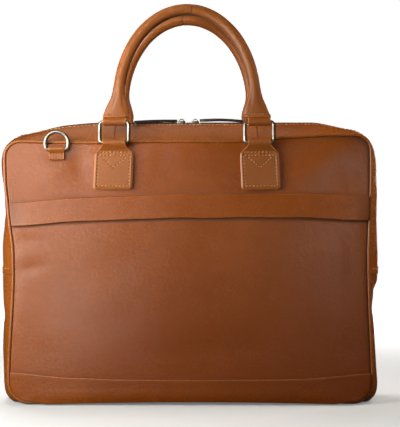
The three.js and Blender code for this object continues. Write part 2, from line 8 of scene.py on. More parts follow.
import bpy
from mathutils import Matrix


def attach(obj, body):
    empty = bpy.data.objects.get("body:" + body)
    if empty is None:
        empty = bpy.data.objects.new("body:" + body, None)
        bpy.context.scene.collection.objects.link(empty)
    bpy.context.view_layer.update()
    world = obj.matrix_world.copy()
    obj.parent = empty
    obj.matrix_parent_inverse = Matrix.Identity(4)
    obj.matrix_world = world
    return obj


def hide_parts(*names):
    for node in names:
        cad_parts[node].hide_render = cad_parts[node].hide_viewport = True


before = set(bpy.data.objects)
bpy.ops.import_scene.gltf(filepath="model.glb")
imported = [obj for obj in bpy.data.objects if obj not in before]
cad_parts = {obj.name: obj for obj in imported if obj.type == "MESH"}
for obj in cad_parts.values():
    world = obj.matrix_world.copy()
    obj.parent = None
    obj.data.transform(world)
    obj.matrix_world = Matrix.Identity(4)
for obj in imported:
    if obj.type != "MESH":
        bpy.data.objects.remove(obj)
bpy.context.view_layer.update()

import math
from collections import namedtuple
from functools import partial

import bpy
import numpy as np
from mathutils import Vector, noise

MM = 0.001
BAG = "bag"
FACES = {"front": -1, "back": 1}
ENDS = {"left": -1, "right": 1}

# Body
SEAM_HALF_WIDTH = 192
SEAM_TOP = 283
SEAM_FOOT = 2.4
DROP_REACH = (236, 283)
DRIFT_REACH = (70, 185)
TOP_CORNER = 16
BASE_CORNER = 20
SIDE_WAIST = 2.5
FOOT_ARCH = 2.4
FOOT_ARCH_HALF = 165
HALF_DEPTH_FOOT = 40
HALF_DEPTH_TOP = 35
GUSSET_JOINT = 138
GUSSET_EDGE = 0.6
LEATHER = 2
GAP = 0.3
PIPING_RADIUS = 2.2
PIPING_ROUND = 1.9
PIPING_BACK = 0.5
PANEL_INSET = 2.05
PANEL_SET_BACK = 1.6
PANEL_SLACK = 0.4
PANEL_CROWN = 5.5
EDGE_FILL = 2.0
GATHER_REACH = (240, 276)
# Painted shade in the groove beside the piping: weak on the left, strong on the right, and the span across
# where it grows.
SEAM_SHADES = (0.0, 0.8)
SHADE_REACH = (90, 180)
HEM_WIDTH = 9
HEM_EDGE = 1.2
HEM_RISE = 0.8
HEM_STITCH_ROW = 6
HEM_STITCH_INSET = 3
HEM_STITCH_RISE = 0.1
LAP_RISE = 0.6
LAP_RAMP = 0.6
LAP_WIDTH = 14
LAP_GROOVE_ASIDE = 0.5
LAP_GROOVE_WIDTH = 0.7
LAP_GROOVE_DEPTH = 0.5
# Painted shade in the lapped seams' grooves and along the gussets' seams to the faces.
LAP_SHADE = 0.75
GUSSET_SHADE = 0.6
SCUFF = 0.25
# Painted shade on the piping's side towards the gusset; PIPING_WEAR is paler wear on its outer side.
PIPING_SHADE = 0.25
PIPING_WEAR = 0.25

# Front pocket, band and base strip
POCKET_LEATHER = 1.8
POCKET_FOOT = 18
POCKET_CROWN = 7
POCKET_PROUD = 0.6
POCKET_SLACK = 0.2
POCKET_EASE = (30, 60)
BAND_LEATHER = 2.2
BAND_CLEARANCE = 1.0
BAND_SLACK = 0.5
# BAND_SHADE: painted shadow just above the band's sewn line.
BAND_SHADE = 0.45
BAND_EDGE = 0.05
BAND_WEAR = 0.5
# Painted shade at both ends of the band.
BAND_END_SHADE = 0.4
MOUTH_TUCK = 2.3
MOUTH_SHARE = 0.45
# Painted shadow of the band's lower edge on the pocket.
MOUTH_SHADE = 0.8
STRIP_ROUND = 16
STRIP_LIP = 0.6
STRIP_LIP_END = 150
# Painted shade on the pocket just above the base strip.
STRIP_SHADE = 0.45
STRIP_EDGE = 0.06
# Paler top edge of the base strip: rubbed wear and a painted highlight.
STRIP_WEAR_AND_HIGHLIGHT = 0.7
# A thin line of painted shade just under the strip's top edge.
STRIP_LINE = 0.88
STRIP_LINE_WIDTH = 0.04
STRIP_LINE_SHADE = 0.2

# Zip
ZIP_SLOT = 3.4
ZIP_TAPE = 6.4
ZIP_TAPE_THICKNESS = 1.2
ZIP_STITCH = 10
ZIP_GROOVE_WIDTH = 0.9
ZIP_GROOVE_DEPTH = 0.3
# Painted shade in the stitch groove beside the zip.
ZIP_GROOVE_SHADE = 0.3
ZIP_FOLD_WIDTH = 3
ZIP_FOLD_DROP = 0.7
ZIP_FOLD_WEAR = 0.3
STITCH_LEVEL = 0.8
ZIP_COIL_RISE = 0.45
TOP_POWER = 1.7
TOP_FACING = 0.99
TOOTH_PITCH = 1.7
TOOTH_HEIGHT = 0.75
TOOTH_ASIDE = 0.75
TOOTH_HALF = (1.75, 0.62)
SLIDER_PLACES = {"left": -10, "right": 5}
SLIDER_CLEAR = 5.2
SLIDER_HALF_LENGTH = 4.5
SLIDER_SINK = 0.9
BAIL_RADIUS = 2.6
BAIL_UP = 2.2
BAIL_HALF = (0.6, 1.3)
PULL_LENGTH = 47.5
PULL_WIDTH = 7
PULL_THICKNESS = 2.7
PULL_NECK = 0.66
PULL_GROOVE = (1.5, 0.4)

# Handles, rings and chapes
HANDLE_OFFSET = -3.9
HANDLE_LEAN = math.radians(7.7)
RING_SPREAD = 77.3
RING_WIRE = 2.05
RING_HALF_WIDTH = 15.4
RING_HEIGHT = 22.5
RING_CORNER = 4
RING_AXIS_OUT = 42.6
RING_AXIS_UP = 279
LOOP_BORE = 2.3
LOOP_HALF = 12
LOOP_LAYER = 1.9
LOOP_APART = 1.15
LOOP_FOOT = -8
LOOP_SPRING = -5.5
CHAPE_LEANS = {"left": -1.3, "right": 1.5}
GROOVE_WIDTH = 0.7
GROOVE_DEPTH = 0.25
# Painted shade in the stitch grooves of chapes and tabs; their holes carry hole_shade.
GROOVE_SHADE = 0.2
HOLE_WIDTH = 0.65
HOLE_DEPTH = 0.3
RIM_RISE = 0.4
RIM_FALL = 0.7
RIM_SINK = 0.1
ARCH_HALF_WIDTH = 72.9
ARCH_SPRING = 47
ARCH_TOP = 146.2
ARCH_DROP = {"front": 0, "back": 2.8}
ARCH_STEPS = 79
FLARE_FOOT = 4.6
FLARE_END = 40
FLARE_STITCH = 7.6
FLARE_STITCH_HALF = 10.4
FLARE_STITCH_SINK = 0.12
HANDLE_SEAM = 5.2
# Painted shade inside the front arch, and painted shadow on the back handle behind the front one.
INNER_SHADE = {"front": 0.95, "back": 0.9}
# Chapes and tabs follow the face up to this height, and chapes splay below it.
HELD_TOP = 272
# Every station on the arch counts as this far from the ring bars.
ARCH_ALONG = 100.0
# Height of each fold and seam of a handle, and how much painted shade lies in it.
HANDLE_RELIEF = {"pleat": -0.55, "join": -0.4, "under": -0.3, "lip": 0.3, "row": -0.32}
HANDLE_SHADES = {"pleat": 0.35, "join": 0.7, "under": 0.5, "lip": 0, "row": 0.6}

# Strap rings and tabs
STRAP_RING_PLACE = -142.6
STRAP_AXIS_OUT = 39.9
STRAP_AXIS_UP = 272
STRAP_HALF_BAR = 8.4
STRAP_HALF_WIDTH = 12.35
STRAP_SHOULDER = 6.45
STRAP_KNEE_INSET = 1
STRAP_SHOULDER_INSET = 0.4

# Steps of the meshes: rows and columns, counts, and spacing along the seams
PANEL_GRID = (64, 111)
POCKET_GRID = (74, 121)
BAND_GRID = (27, 161)
STRIP_GRID = (22, 70)
CROWDING = 0.92
CORNER_STEPS = 12
SEAM_TURN_STEPS = 15
UPPER_COLUMNS = 34
LOWER_COLUMNS = 29
TAPE_COLUMNS = 13
LOOP_COLUMNS = 25
UPPER_SPACING = 3.0
LOWER_SPACING = 3.2
PIPING_SPACING = 3.0
ZIP_SPACING = 4.0
HEM_SPACING = 1.0
LAP_STATIONS = np.arange(-3, 3.1, 0.5)
FLARE_STEP = 0.9
LOOP_STEP = 0.8
WIRE_SIDES = 20
HANDLE_SIDES = 40
PIPING_SIDES = 18
FOLD_DOWN_STEPS = 8
FOLD_BLEND_STEPS = 9
FOLD_TURN_STEPS = 17
RING_CORNER_STEPS = 13
RING_SECTIONS = 132
STRAP_BEND_STEPS = 14
STRAP_BOW_STEPS = 40
STRAP_SECTIONS = 120
PULL_GRID = (60, 15)
BAIL_STEPS = 25
BAIL_SIDES = 14
STAGE_BEND_STEPS = 17
STAGE_SIDES = 96
STITCH_LINE_POINTS = 30
BEAD_SEGMENTS = 8
BEAD_RINGS = 5

# Unevenness of each piece: a seed, the size of its waves and their height.
Uneven = namedtuple("Uneven", "seed size height")
FRONT_UNEVEN = Uneven(1.3, 55, 0.5)
BACK_UNEVEN = Uneven(7.9, 55, 0.5)
POCKET_UNEVEN = Uneven(3.7, 48, 0.55)
BAND_EDGE_UNEVEN = Uneven(9.1, 38, 0.7)
BAND_UNEVEN = Uneven(5.3, 42, 0.5)
UPPER_UNEVEN = Uneven(2.1, 26, 0.35)
LOWER_UNEVEN = Uneven(6.2, 28, 0.4)
PIPING_UNEVEN = Uneven(4.4, 4, 0.12)
HANDLE_UNEVEN = Uneven(8.8, 1.0, 0.16)
GATHER_SEED = 20
GATHER_SIZE = 15
GATHER_HEIGHT = 0.6

# Stitches of each kind of row: pitch, then half sizes.
Stitch = namedtuple("Stitch", "pitch length width height")
STITCHES = {
    "zip": Stitch(4.2, 1.6, 0.8, 0.45),
    "hem": Stitch(3.4, 1.35, 0.42, 0.4),
    "chape": Stitch(3.7, 1.4, 0.5, 0.4),
    "handle": Stitch(3.0, 1.1, 0.42, 0.4),
    "tab": Stitch(3.0, 1.05, 0.38, 0.4),
}
STITCH_LEAN = 0.16

# How a zip pull lies: lift at the slider, rise of its arch, lift at its far end, and how far that end
# has swung to the front.
Lie = namedtuple("Lie", "near rise far forward")
PULL_LIE = {"left": Lie(0.8, 0.3, 0.0, 8.0), "right": Lie(1.3, 1.1, 0.4, 1.0)}

# Leathers: display colours of the dye where it is light and deep and at worn edges, roughness, grain.
Dye = namedtuple("Dye", "light deep edge rough grain")
DYES = {
    "tan_leather": Dye((161, 82, 22), (142, 69, 16), (194, 109, 45), (0.22, 0.31), 1.0),
    "tan_leather_side": Dye((161, 86, 27), (143, 74, 21), (190, 110, 46), (0.22, 0.31), 1.0),
    "tan_leather_rolled": Dye((166, 92, 33), (148, 79, 25), (198, 118, 54), (0.36, 0.48), 0.7),
    "dark_leather": Dye((30, 25, 23), (19, 16, 15), (52, 45, 41), (0.42, 0.55), 0.8),
}
FLECK_COLOUR = (0.02, 0.008, 0.003, 1)
VALLEY_COLOUR = (0.03, 0.012, 0.004, 1)
# Colour of the painted shade that the groove mark lays into seams, grooves, folds and under parts.
PAINTED_SHADE_COLOUR = (0.05, 0.012, 0.002, 1)
LEATHER_GLINT = (1.0, 0.98, 0.94, 1.0)
# Painted shade low on the bag and towards the right, with its reach in metres.
LOW_SHADE_UP = (0.19, 0.04)
LOW_SHADE_ACROSS = (-0.15, -0.02)
LOW_SHADE_TINT = (0.52, 0.29, 0.3)

# Stage, in millimetres but for the reach of its glow, in metres
FLOOR_HEIGHT = -0.4
FLOOR_RADIUS = 2000
SWEEP_RADIUS = 800
STAGE_HEIGHT = 3000
FLOOR_GREY = (0.6, 0.6, 0.6, 1)
FLOOR_GLOW = (0.15, 1.0)
GLOW_REACH = (0.3, 1.1)
ROOM_LIGHT = 0.015

# Camera and lights, in metres
CAMERA_PLACE = (0.0102, -1.19, 0.2035)
CAMERA_LENS = 90.95
CAMERA_SENSOR = 36
CAMERA_REACH = 20
WHITE = (1, 1, 1)
WARM = (1.0, 0.95, 0.88)
PALE_WARM = (1.0, 0.97, 0.9)
Light = namedtuple("Light", "name place target size power colour spread gloss")
LIGHTS = (
    Light("key", (-0.57, -0.37, 0.32), (-0.02, 0, 0.18), (0.4, 0.4), 5.8, (0.97, 1.0, 0.96), 180, True),
    Light("sheen", (-0.23, -0.52, 0.2), (-0.15, 0, 0.19), (0.14, 0.45), 0.145, WHITE, 66, True),
    Light("handle_light", (-0.34, -0.55, 0.6), (-0.09, -0.03, 0.38), (0.14, 0.24), 0.1, PALE_WARM, 30, True),
    Light("right_sheen", (0.4, -0.9, 0.24), (0.16, 0, 0.23), (0.2, 0.2), 0.04, WHITE, 50, True),
    Light("front_fill", (0.2, -1.0, 0.1), (0.06, 0, 0.12), (0.4, 0.4), 0.7, WARM, 180, False),
    Light("top", (-0.14, 0.2, 1.0), (0.03, 0, 0.3), (0.5, 0.5), 0.85, WARM, 180, True),
    Light("top_right", (0.5, 0.0, 0.85), (0.17, 0, 0.29), (0.2, 0.2), 0.14, (1.0, 0.9, 0.75), 34, False),
    Light("side_fill", (0.85, -0.05, 0.6), (0, 0, 0.22), (0.7, 0.7), 4.2, WARM, 180, False),
    Light("back_fill", (0.1, 1.1, 0.3), (0, 0, 0.2), (1.2, 0.5), 7, (1.0, 0.96, 0.9), 180, True),
)
FLOOR_LIGHT = Light("floor_light", (-0.25, 0.3, 1.2), (0, 0, 0), (0.4, 0.4), 8, WHITE, 180, True)


def table(columns, *rows):
    """A short table: one array for each named column."""
    return {name: np.array([row[i] for row in rows], float) for i, name in enumerate(columns.split())}


# How far the gusset swells past the seam, as a share of each gusset's length: the upper one runs from
# the left joint over the top, the lower one from the right joint under the base.
UPPER_SWELL = table(
    "along swell power",
    (0.0, 15.7, 2.4), (0.04, 16.1, 2.4), (0.06, 15.2, 2.4), (0.08, 13.1, 2.4), (0.105, 12.1, 2.4),
    (0.12, 11.2, 2.4), (0.15, 13, 2.4), (0.17, 14.2, 2.4), (0.185, 14.5, 2.4), (0.194, 13.8, 2.4),
    (0.2055, 11.6, 2.4), (0.2165, 9, 2.4), (0.228, 6.8, 2.3), (0.2346, 6.8, 2.2), (0.245, 8.5, 2.1),
    (0.26, 11, 1.9), (0.28, 14.4, 1.8), (0.3, 17, 1.8), (0.36, 20, 1.7), (0.5, 20, 1.7), (0.7, 20, 1.7),
    (0.735, 16.3, 1.8), (0.75, 13.8, 2), (0.7654, 11.9, 2.2), (0.778, 10, 2.4), (0.79, 9.2, 2.4),
    (0.8, 9.2, 2.4), (0.82, 11, 2.4), (0.855, 12.8, 2.4), (0.9, 13.2, 2.4), (0.95, 14.8, 2.4),
    (0.975, 15.6, 2.4), (1.0, 15, 2.4),
)
LOWER_SWELL = table(
    "along swell power",
    (0.0, 15, 2.4), (0.016, 13.9, 2.4), (0.03, 10.4, 2.4), (0.045, 8.8, 2.4), (0.06, 8.6, 2.4),
    (0.1, 9.3, 2.4), (0.15, 10.6, 2.4), (0.185, 12, 2.6), (0.196, 13, 3), (0.208, 10.8, 3.6),
    (0.22, 3, 5), (0.232, 1.8, 8), (0.768, 1.8, 8), (0.78, 3, 5), (0.792, 10.4, 3.6), (0.804, 12.2, 3),
    (0.815, 11.6, 2.6), (0.87, 13.2, 2.4), (0.93, 14.2, 2.4), (1.0, 16, 2.4),
)
# How far the side seams have been pulled outwards at each height, on the left and on the right.
SEAM_DRIFT = table(
    "up left right",
    (0, 1, 1.5), (34, 2, 2), (68, 1.5, 1.8), (100, 0.5, 1.4), (135, 0, 1.1), (164, 0.4, 1),
    (188, 2.8, 1.4), (217, 5, 1.7), (239, 6.6, 1.8), (262, 7, 1.6), (283, 6.2, 1.5),
)
# How far the top seam has dropped from its plain line, from left to right.
SEAM_DROP = table(
    "across drop",
    (-192, 2), (-165, 2.4), (-140, 3.2), (-110, 3.5), (-80, 2.8), (-45, 2.2), (45, 2), (75, 0.2),
    (103, -2.2), (130, -3.8), (152, -5), (175, -4.8), (192, -4),
)
# Soft creases across the gussets: distance along from the gusset's start, slant, half width and depth.
UPPER_CREASES = table("run slant width depth", (70, 0.25, 7, 1.3), (88, -0.2, 6, 1.1), (560, 0.2, 8, 0.9))
LOWER_CREASES = table("run slant width depth", (18, 0.2, 6, 1.4), (34, -0.15, 7, 1.1), (595, 0.2, 8, 1.0))
# Edges of the band and top of the base strip across the front, from left (-1) to right (1).
FRONT_LINES = table(
    "across band_top band_foot strip_top",
    (-1.0, 215, 190, 34), (-0.7, 219.5, 194.5, 29.5), (-0.35, 222.4, 197.2, 27.3),
    (0.0, 224.2, 198.8, 26.7), (0.6, 224.4, 199.4, 27.6), (1.0, 222.4, 196.2, 33),
)
POCKET_FULLNESS = table("up share", (0, 0), (18, 0.6), (90, 1), (150, 1), (230, 0.82))
# Section of a handle from the ring's bar: half width, half thickness and squareness (2 is an ellipse).
HANDLE_SECTIONS = table(
    "along width thickness square",
    (0, 12.2, 3.9, 3.4), (6, 13.2, 3.9, 3.4), (8, 13.4, 3.8, 3.2), (12, 13, 4, 2.9),
    (17, 11.6, 4.5, 2.6), (23, 9.5, 5.2, 2.3), (29, 7.7, 5.8, 2.1), (35, 6.7, 6.15, 2),
    (43, 6.25, 6.25, 2), (999, 6.25, 6.25, 2),
)
# Dents and soft folds of the faces: centre, half sizes, turn in degrees and depth.
UPPER_DENTS = table(
    "x z across up turn depth",
    (-114, 258, 12, 18, 10, 1.7), (-146, 240, 18, 16, 0, -1.2), (-20, 245, 40, 14, 0, 0.7),
    (142, 256, 42, 14, 40, -1.5), (112, 264, 18, 14, 20, 0.9), (168, 240, 10, 18, 20, 0.9),
    (-142.6, 270, 11, 7, 0, 0.7), (-81.2, 273, 16, 7, 0, 0.6), (73.4, 273, 16, 7, 0, 0.6),
)
POCKET_DENTS = table(
    "x z across up turn depth",
    (-176, 176, 18, 6, -10, 1.5), (-174, 145, 20, 7, 12, 1.8), (-166, 92, 10, 36, -4, 0.8),
    (-60, 160, 60, 22, 14, 0.8), (80, 90, 70, 40, -18, 0.9), (172, 150, 10, 34, 4, 1.0),
    (168, 60, 12, 30, -8, 0.7), (20, 60, 90, 18, 4, 0.6),
)
BACK_DENTS = table(
    "x z across up turn depth",
    (-120, 90, 60, 40, 20, 1.0), (90, 180, 70, 34, -15, 1.0), (0, 60, 110, 20, 4, 0.8),
    (165, 110, 10, 40, 6, 1.0),
)
# Half width of a chape and of a strap tab at each height.
CHAPE_OUTLINE = table(
    "up half", (229, 20.8), (250, 20.8), (266.5, 20.6), (268.6, 19.6), (272.3, 15.9), (275.6, 12.5),
    (277.5, 12), (290, 12),
)
TAB_OUTLINE = table("up half", (261, 8.1), (290, 8.1))
# Stitch lines of a chape and of a tab, as ends of straight rows measured from its middle and its foot.
CHAPE_ROWS = table(
    "x0 up0 x1 up1",
    (-17, 36.6, -17, 3.9), (-17, 3.9, 17, 3.9), (17, 3.9, 17, 36.6), (-17.4, 39.9, 17.4, 39.9),
    (-16.4, 36.6, 16.4, 36.6), (-12.6, 34.8, 0, 23.4), (0, 23.4, 13.4, 34.8),
)
TAB_ROWS = table(
    "x0 up0 x1 up1",
    (-5.9, 2.2, 5.9, 2.2), (-5.9, 2.2, -5.9, 6.2), (5.9, 2.2, 5.9, 6.2), (-5.9, 6.4, 5.9, 6.4),
)
# Outline of a slider's plate, and its sections from the foot up.
SLIDER_OUTLINE = table(
    "x y", (-4.5, -2.2), (-3.2, -3.4), (-1, -4), (4.5, -3.3), (4.5, 3.3), (-1, 4), (-3.2, 3.4), (-4.5, 2.2),
)
SLIDER_SECTIONS = table(
    "share up", (0.9, 0.0), (1.0, 0.35), (1.0, 1.0), (0.86, 1.15), (0.86, 1.6), (0.95, 1.75),
    (0.95, 2.3), (0.8, 2.7),
)

# A fold's middle line: out, up, its direction away from the bar, and points on its front climb.
Fold = namedtuple("Fold", "out up n_out n_up climb")
# Strips that are folded in half round a bar: the chapes and the strap tabs.
Strip = namedtuple(
    "Strip",
    "outline corner foot spring axis_out axis_up layer lift step columns"
    " rows stitch points sink rim hole_shade edge_shade edge_reach rounding",
)
CHAPE = Strip(
    outline=CHAPE_OUTLINE, corner=3.5, foot=229, spring=269, axis_out=RING_AXIS_OUT, axis_up=RING_AXIS_UP,
    layer=1.9, lift=0.15, step=0.55, columns=75, rows=CHAPE_ROWS, stitch="chape", points=30, sink=0.15,
    rim=1, hole_shade=0.85, edge_shade=0.7, edge_reach=(0.4, 1.8), rounding=(0.3, 2),
)
TAB = Strip(
    outline=TAB_OUTLINE, corner=0, foot=261, spring=267.6, axis_out=STRAP_AXIS_OUT, axis_up=STRAP_AXIS_UP,
    layer=1.65, lift=0.1, step=0.5, columns=31, rows=TAB_ROWS, stitch="tab", points=12, sink=0,
    rim=0, hole_shade=0.8, edge_shade=0.6, edge_reach=(0.2, 1.4), rounding=(0.5, 3),
)


def smooth(value, low=0.0, high=1.0):
    share = np.clip((value - low) / (high - low), 0, 1)
    return share * share * (3 - 2 * share)


def lerp(a, b, share):
    return a + (b - a) * share


def bell(value, width):
    """A bump that is 1 at zero and fades out over a width."""
    return np.exp(-(value / width) ** 2)


def travelled(steps):
    """Distance from the start at each point of a line, from the lengths of its steps."""
    return np.concatenate([[0], np.cumsum(steps)])


def circle(count):
    """Angles at an even spacing all round."""
    return np.linspace(0, 2 * np.pi, count, endpoint=False)


def read(rows, key, column, place):
    """A column of a table between its rows, on a smooth curve that doesn't overshoot."""
    at = rows[key]
    value = rows[column]
    step = np.diff(at)
    rise = np.diff(value) / step
    slope = np.zeros_like(value)
    product = rise[:-1] * rise[1:]
    steady = product > 0
    total = np.where(steady, rise[:-1] + rise[1:], 1)
    slope[1:-1] = np.where(steady, 2 * product / total, 0)
    i = np.clip(np.searchsorted(at, place) - 1, 0, len(step) - 1)
    t = np.clip((place - at[i]) / step[i], 0, 1)
    low = value[i] * (1 + 2 * t) * (1 - t) ** 2 + slope[i] * step[i] * t * (1 - t) ** 2
    return low + value[i + 1] * t * t * (3 - 2 * t) + slope[i + 1] * step[i] * t * t * (t - 1)


def ripple(x, z, seed, size, height):
    """Smooth seeded unevenness over two coordinates."""
    flat = [noise.noise(Vector((a / size, b / size, seed))) for a, b in zip(x.ravel(), z.ravel())]
    return height * np.array(flat).reshape(x.shape)


def dented(x, z, dents):
    """How deep a table's dents are at each point."""
    depth = np.zeros_like(x)
    for cx, cz, across, up, turn, deep in zip(*dents.values()):
        c = math.cos(math.radians(turn))
        s = math.sin(math.radians(turn))
        u = ((x - cx) * c + (z - cz) * s) / across
        v = ((z - cz) * c - (x - cx) * s) / up
        depth += deep * np.exp(-(u * u + v * v))
    return depth


# Forms of the bag

def foot_lift(x, z=0.0):
    """How far the seam along the base lifts between the corners, fading out up the face."""
    across = np.minimum(np.abs(x) / FOOT_ARCH_HALF, 1)
    return FOOT_ARCH * (1 - across ** 2) * (1 - smooth(z, 0, POCKET_FOOT * 3))


def half_depth(z):
    return lerp(HALF_DEPTH_FOOT, HALF_DEPTH_TOP, z / SEAM_TOP)


def seam_half_width(z):
    foot = SEAM_FOOT + BASE_CORNER
    head = SEAM_TOP - TOP_CORNER
    share = np.clip((z - foot) / (head - foot), 0, 1)
    return SEAM_HALF_WIDTH - SIDE_WAIST * np.sin(np.pi * share) ** 2


def drifted(x, z):
    """Where points of the seams and of the faces inside them come to lie on the used bag."""
    pull = np.where(x < 0, -read(SEAM_DRIFT, "up", "left", z), read(SEAM_DRIFT, "up", "right", z))
    drop = read(SEAM_DROP, "across", "drop", x) * smooth(z, *DROP_REACH)
    return x + pull * smooth(np.abs(x), *DRIFT_REACH), z - drop


def face_points(x, out, z):
    """Points of a face that lies a distance out from the middle of the bag (negative at the front)."""
    x, z = drifted(*np.broadcast_arrays(x, z))
    return np.stack([x, np.broadcast_to(out, x.shape), z], -1)


def face_half_width(z):
    """Half the width of a face at a height, inside the seam and round its corners."""
    upper = z > SEAM_TOP / 2
    corner = np.where(upper, TOP_CORNER, BASE_CORNER) - PANEL_INSET
    into_top = z - (SEAM_TOP - PANEL_INSET - corner)
    into_foot = SEAM_FOOT + PANEL_INSET + corner - z
    into = np.maximum(np.where(upper, into_top, into_foot), 0)
    return seam_half_width(z) - PANEL_INSET - corner + np.sqrt(np.maximum(corner ** 2 - into ** 2, 0))


def face_fullness(x, z):
    half = (SEAM_TOP - SEAM_FOOT) / 2 - PANEL_INSET
    up = (z - (SEAM_TOP + SEAM_FOOT) / 2) / half
    return np.maximum(0, 1 - (x / face_half_width(z)) ** 6) * np.maximum(0, 1 - up ** 8)


def plain_face(x, z):
    """Distance of a plain face's outer side from the middle of the bag."""
    return half_depth(z) - PANEL_SET_BACK + lerp(EDGE_FILL, PANEL_CROWN, face_fullness(x, z))


def front_line(column, x):
    return read(FRONT_LINES, "across", column, np.asarray(x) / (SEAM_HALF_WIDTH - PANEL_INSET))


def pocket_mouth(x):
    return lerp(front_line("band_foot", x), front_line("band_top", x), MOUTH_SHARE)


def front_face(x, z):
    """The front face lies further back behind the pocket than above it."""
    mouth = pocket_mouth(x)
    crown = lerp(EDGE_FILL, PANEL_CROWN, face_fullness(x, z))
    return half_depth(z) - PANEL_SET_BACK + crown * smooth(z, mouth - 4, mouth + 8)


def pocket_face(x, z):
    across = np.clip(np.abs(x) / face_half_width(z), 0, 1)
    fullness = (1 - across ** 6) * read(POCKET_FULLNESS, "up", "share", z)
    tuck = MOUTH_TUCK * smooth(z, front_line("band_foot", x) - 2, pocket_mouth(x))
    return half_depth(z) + POCKET_PROUD + POCKET_CROWN * fullness - tuck


def mirrored(side, corner, middle, sign=1):
    """Values along a seam from its left joint to its right one, given up to its middle stretch."""
    return np.concatenate([side, corner, middle, sign * corner[::-1], sign * side[::-1]])


def swollen(line, swells):
    """A plain seam line where it lies on the used bag, with the gusset's swell at each station."""
    x = line["x"]
    z = line["z"]
    run = travelled(np.hypot(np.diff(x), np.diff(z)))
    line["x"], line["z"] = drifted(x, z)
    moved = (line["x"] - x) * line["nx"] + (line["z"] - z) * line["nz"]
    line["run"] = run
    line["swell"] = read(swells, "along", "swell", run / run[-1]) + line.pop("raised") - moved
    line["power"] = read(swells, "along", "power", run / run[-1])
    return line


def seam_line(upper, spacing, extra=()):
    """Stations along the seam over the top or under the base, closer together at the extra places."""
    corner, edge, sign = (TOP_CORNER, SEAM_TOP, 1) if upper else (BASE_CORNER, SEAM_FOOT, -1)
    middle = SEAM_HALF_WIDTH - corner
    spring = edge - sign * corner
    joint = GUSSET_JOINT + sign * GAP / 2
    up = np.linspace(joint, spring, round(abs(spring - joint) / spacing) + 1)
    turn = np.linspace(0, np.pi / 2, SEAM_TURN_STEPS)[1:-1]
    across = np.linspace(-middle, middle, round(2 * middle / spacing) + 1)
    across = np.unique(np.concatenate([across, *[place + LAP_STATIONS for place in extra]]))
    lift = np.zeros_like(across) if upper else foot_lift(across)
    line = {
        "x": mirrored(-seam_half_width(up), -middle - corner * np.cos(turn), across, -1),
        "z": mirrored(up, spring + sign * corner * np.sin(turn), edge + lift),
        "nx": mirrored(0 * up - 1, -np.cos(turn), 0 * across, -1),
        "nz": sign * mirrored(0 * up, np.sin(turn), 0 * across + 1),
        "raised": mirrored(0 * up, 0 * turn, lift),
    }
    if upper:
        return swollen(line, UPPER_SWELL)
    return swollen({key: values[::-1] for key, values in line.items()}, LOWER_SWELL)


def gusset_half(line):
    return half_depth(line["z"]) - PIPING_RADIUS - GAP


def gusset_share(line, y):
    """How far each depth y lies from the zip's line (0) towards the seam (1)."""
    return np.abs(y / gusset_half(line)[:, None])


def gusset_out(line, y):
    """Outer side of the gusset, outwards from the seam, at depths y with one row for each station."""
    share = gusset_share(line, y)
    return GUSSET_EDGE + line["swell"][:, None] * (1 - share ** line["power"][:, None])


def creased(line, y, creases):
    depth = np.zeros_like(y)
    for run, slant, width, deep in zip(*creases.values()):
        depth += deep * bell(line["run"][:, None] - run - slant * y, width)
    return depth * np.clip(1 - gusset_share(line, y) ** 4, 0, 1)


def gusset_points(line, y, out):
    x = line["x"][:, None] + line["nx"][:, None] * out
    z = line["z"][:, None] + line["nz"][:, None] * out
    return np.stack([x, np.broadcast_to(y, x.shape), z], -1)


# Meshes

def grid_quads(index):
    return np.stack([index[:-1, :-1], index[:-1, 1:], index[1:, 1:], index[1:, :-1]], -1).reshape(-1, 4)


def mesh_object(name, points, faces):
    """A smooth mesh object in the scene, from points in millimetres."""
    mesh = bpy.data.meshes.new(name)
    mesh.from_pydata((points * MM).tolist(), [], faces)
    mesh.shade_smooth()
    obj = bpy.data.objects.new(name, mesh)
    bpy.context.scene.collection.objects.link(obj)
    return obj


def make(name, points, quads, caps=(), marks=None):
    """A mesh object of quads, and of end caps with more corners, turned to face out."""
    points = np.asarray(points, float).reshape(-1, 3)
    a, b, c, d = (points[quads[:, k]] for k in range(4))
    volume = np.einsum("ij,ij->", a, np.cross(b, c)) + np.einsum("ij,ij->", a, np.cross(c, d))
    faces = quads.tolist() + [list(cap) for cap in caps]
    if volume < 0:
        faces = [face[::-1] for face in faces]
    obj = mesh_object(name, points, faces)
    for mark, values in (marks or {}).items():
        attribute = obj.data.attributes.new(mark, "FLOAT", "POINT")
        attribute.data.foreach_set("value", np.ravel(values).astype(np.float32))
    return obj


def wall(name, outer, inner, marks=None):
    """A closed leather wall between an outer and an inner grid of points."""
    rows, columns = outer.shape[:2]
    top = np.arange(rows * columns).reshape(rows, columns)
    low = top + rows * columns

    def rim(a, b):
        return np.stack([a[:-1], b[:-1], b[1:], a[1:]], -1)

    quads = np.concatenate([
        grid_quads(top), grid_quads(low)[:, ::-1],
        rim(top[0], low[0]), rim(top[-1, ::-1], low[-1, ::-1]),
        rim(top[::-1, 0], low[::-1, 0]), rim(top[:, -1], low[:, -1]),
    ])
    both = {mark: np.tile(values.ravel(), 2) for mark, values in (marks or {}).items()}
    return make(name, np.concatenate([outer.reshape(-1, 3), inner.reshape(-1, 3)]), quads, marks=both)


def tube(name, sections, closed, marks=None):
    """A solid through closed sections, joined end to end or capped."""
    count, sides = sections.shape[:2]
    index = np.arange(count * sides).reshape(count, sides)
    caps = [] if closed else [index[0, ::-1].tolist(), index[-1].tolist()]
    if closed:
        index = np.vstack([index, index[:1]])
    quads = grid_quads(np.hstack([index, index[:, :1]]))
    return make(name, sections, quads, caps, marks)


def joined(name, parts):
    """Several mesh objects as one."""
    with bpy.context.temp_override(active_object=parts[0], selected_editable_objects=parts):
        bpy.ops.object.join()
    parts[0].name = name
    parts[0].data.name = name
    return parts[0]


